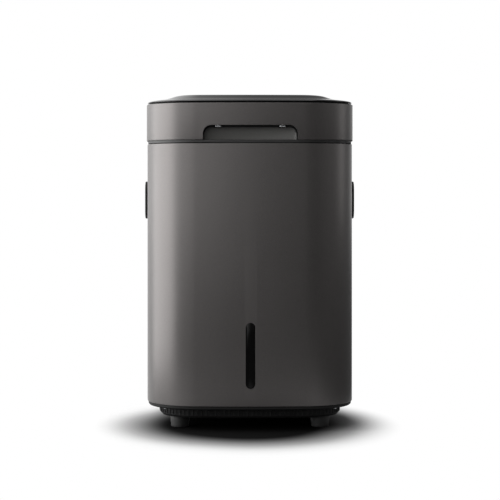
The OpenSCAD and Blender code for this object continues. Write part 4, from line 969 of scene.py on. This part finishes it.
def lamp(name, place, target, size, power):
    data = bpy.data.lights.new(name, "AREA")
    data.shape, data.size, data.size_y, data.energy = "RECTANGLE", size[0], size[1], power
    thing = bpy.data.objects.new(name, data)
    thing.location = place
    thing.rotation_euler = (Vector(target) - Vector(place)).to_track_quat("-Z", "Y").to_euler()
    thing.visible_camera = False
    bpy.context.scene.collection.objects.link(thing)


def ray_kinds(kit):
    """1 for a camera ray, for a transmission ray and for a glossy ray."""
    path = kit.node("ShaderNodeLightPath")
    return [Wire(kit, path.outputs[f"Is {kind} Ray"]) for kind in ("Camera", "Transmission", "Glossy")]


def floor_finish():
    """White floor: matte round the composter, where its real shadow falls and a painted shadow darkens the
    colour to near black in an ellipse round the footprint; plain white further out.
    """
    f = Finish("floor_white")
    parts = f.node("ShaderNodeSeparateXYZ", {0: f.place})
    x, y = [Wire(f, socket) for socket in parts.outputs[:2]]
    # The painted shadow's ellipse: its middle lies 8 cm ahead of the origin, and it is narrower across than
    # front to back, most on the right.
    ahead, across = y + 0.08, 1.85 - (0.0 - x).ramp(0.0, 0.1) * 0.55
    distance = x.math("SQRT", x * x * across + ahead * ahead)
    camera, through, glossy = ray_kinds(f)
    # Painted shade: for every ray but the camera's, the floor ahead of and right of the composter turns dark
    # grey, so reflections and bounced light see a darker floor there.
    dim = (1.0 - camera) * (0.0 - y).ramp(0.25, 0.45).max(x.ramp(0.15, 0.30))
    far = distance.ramp(0.20, 0.30) * camera.max(through).max(glossy * (1.0 - dim))
    grain = f.noise(300, 2.0)
    pale = f.mix(grain, shade((0.54,) * 3), shade((0.56,) * 3))
    # Painted shadow: the floor's colour runs from near black at the footprint to pale further out.
    painted_shadow_floor = f.mix(distance.ramp(0.130, 0.275), shade((0.006,) * 3), pale)
    matte = f.out("ShaderNodeBsdfDiffuse", {"Color": f.mix(dim, painted_shadow_floor, shade((0.12,) * 3))})
    white = f.out("ShaderNodeEmission", {"Color": WHITE, "Strength": 1.0})
    surface = f.out("ShaderNodeMixShader", {0: far, 1: matte, 2: white})
    f.node("ShaderNodeOutputMaterial", {"Surface": surface})
    return f.material


def room_finish(scene, strength):
    """White to the eye all round and, low behind the composter, in reflections. Otherwise a dim room that is
    bright on the left."""
    world = bpy.data.worlds.new("room")
    world.use_nodes = True
    world.node_tree.nodes.clear()
    kit = Kit(world.node_tree)
    direction = kit.out("ShaderNodeTexCoord", output="Generated")
    parts = kit.node("ShaderNodeSeparateXYZ", {0: direction})
    x, y, z = [Wire(kit, socket) for socket in parts.outputs]
    behind = y.ramp(0.6, 0.95) * (1.0 - z.ramp(0.05, 0.27))
    camera, through, glossy = ray_kinds(kit)
    white = camera.max(through).max(glossy * behind)
    left, right = (0.0 - x).ramp(-0.04, 0.26) * 9.0, x.ramp(0.6, 0.95) * 1.2
    room = (left + right + 1.0) * (1.0 - y.ramp(0.0, 0.4) * z.ramp(0.05, 0.25) * 0.3) * strength
    back = kit.out("ShaderNodeBackground", {"Color": WHITE, "Strength": white + (1.0 - white) * room})
    kit.node("ShaderNodeOutputWorld", {"Surface": back})
    scene.world = world


class COMPOSTER_PT_panel(bpy.types.Panel):
    """The composter's tools in the sidebar"""
    bl_label = "Composter"
    bl_idname = "COMPOSTER_PT_panel"
    bl_space_type = "VIEW_3D"
    bl_region_type = "UI"
    bl_category = "Composter"

    def draw(self, context):
        for step in STEPS:
            self.layout.operator(step.bl_idname)
        for group in ("cabinet", "lid", "colours", "studio"):
            box_ = self.layout.box()
            box_.label(text=group.capitalize())
            values = getattr(context.scene.composter, group)
            for key in values.__annotations__:
                box_.prop(values, key)


STEPS = (COMPOSTER_OT_finishes, COMPOSTER_OT_shell, COMPOSTER_OT_base, COMPOSTER_OT_feet, COMPOSTER_OT_window,
         COMPOSTER_OT_grips, COMPOSTER_OT_lid_skirt, COMPOSTER_OT_pull_cup, COMPOSTER_OT_lid_panel,
         COMPOSTER_OT_rear_cover, COMPOSTER_OT_screws, COMPOSTER_OT_stage)
CLASSES = (CabinetSizes, LidSizes, FinishColours, StudioSettings, ComposterSettings, *STEPS,
           COMPOSTER_PT_panel)


def register():
    for item in CLASSES:
        bpy.utils.register_class(item)
    bpy.types.Scene.composter = bpy.props.PointerProperty(type=ComposterSettings)


def unregister():
    del bpy.types.Scene.composter
    for item in reversed(CLASSES):
        bpy.utils.unregister_class(item)


def main():
    register()
    for step in STEPS:
        group, name = step.bl_idname.split(".")
        if getattr(getattr(bpy.ops, group), name)() != {"FINISHED"}:
            raise RuntimeError(f"{step.bl_label} didn't finish")
    bpy.context.view_layer.update()


if __name__ == "__main__":
    main()
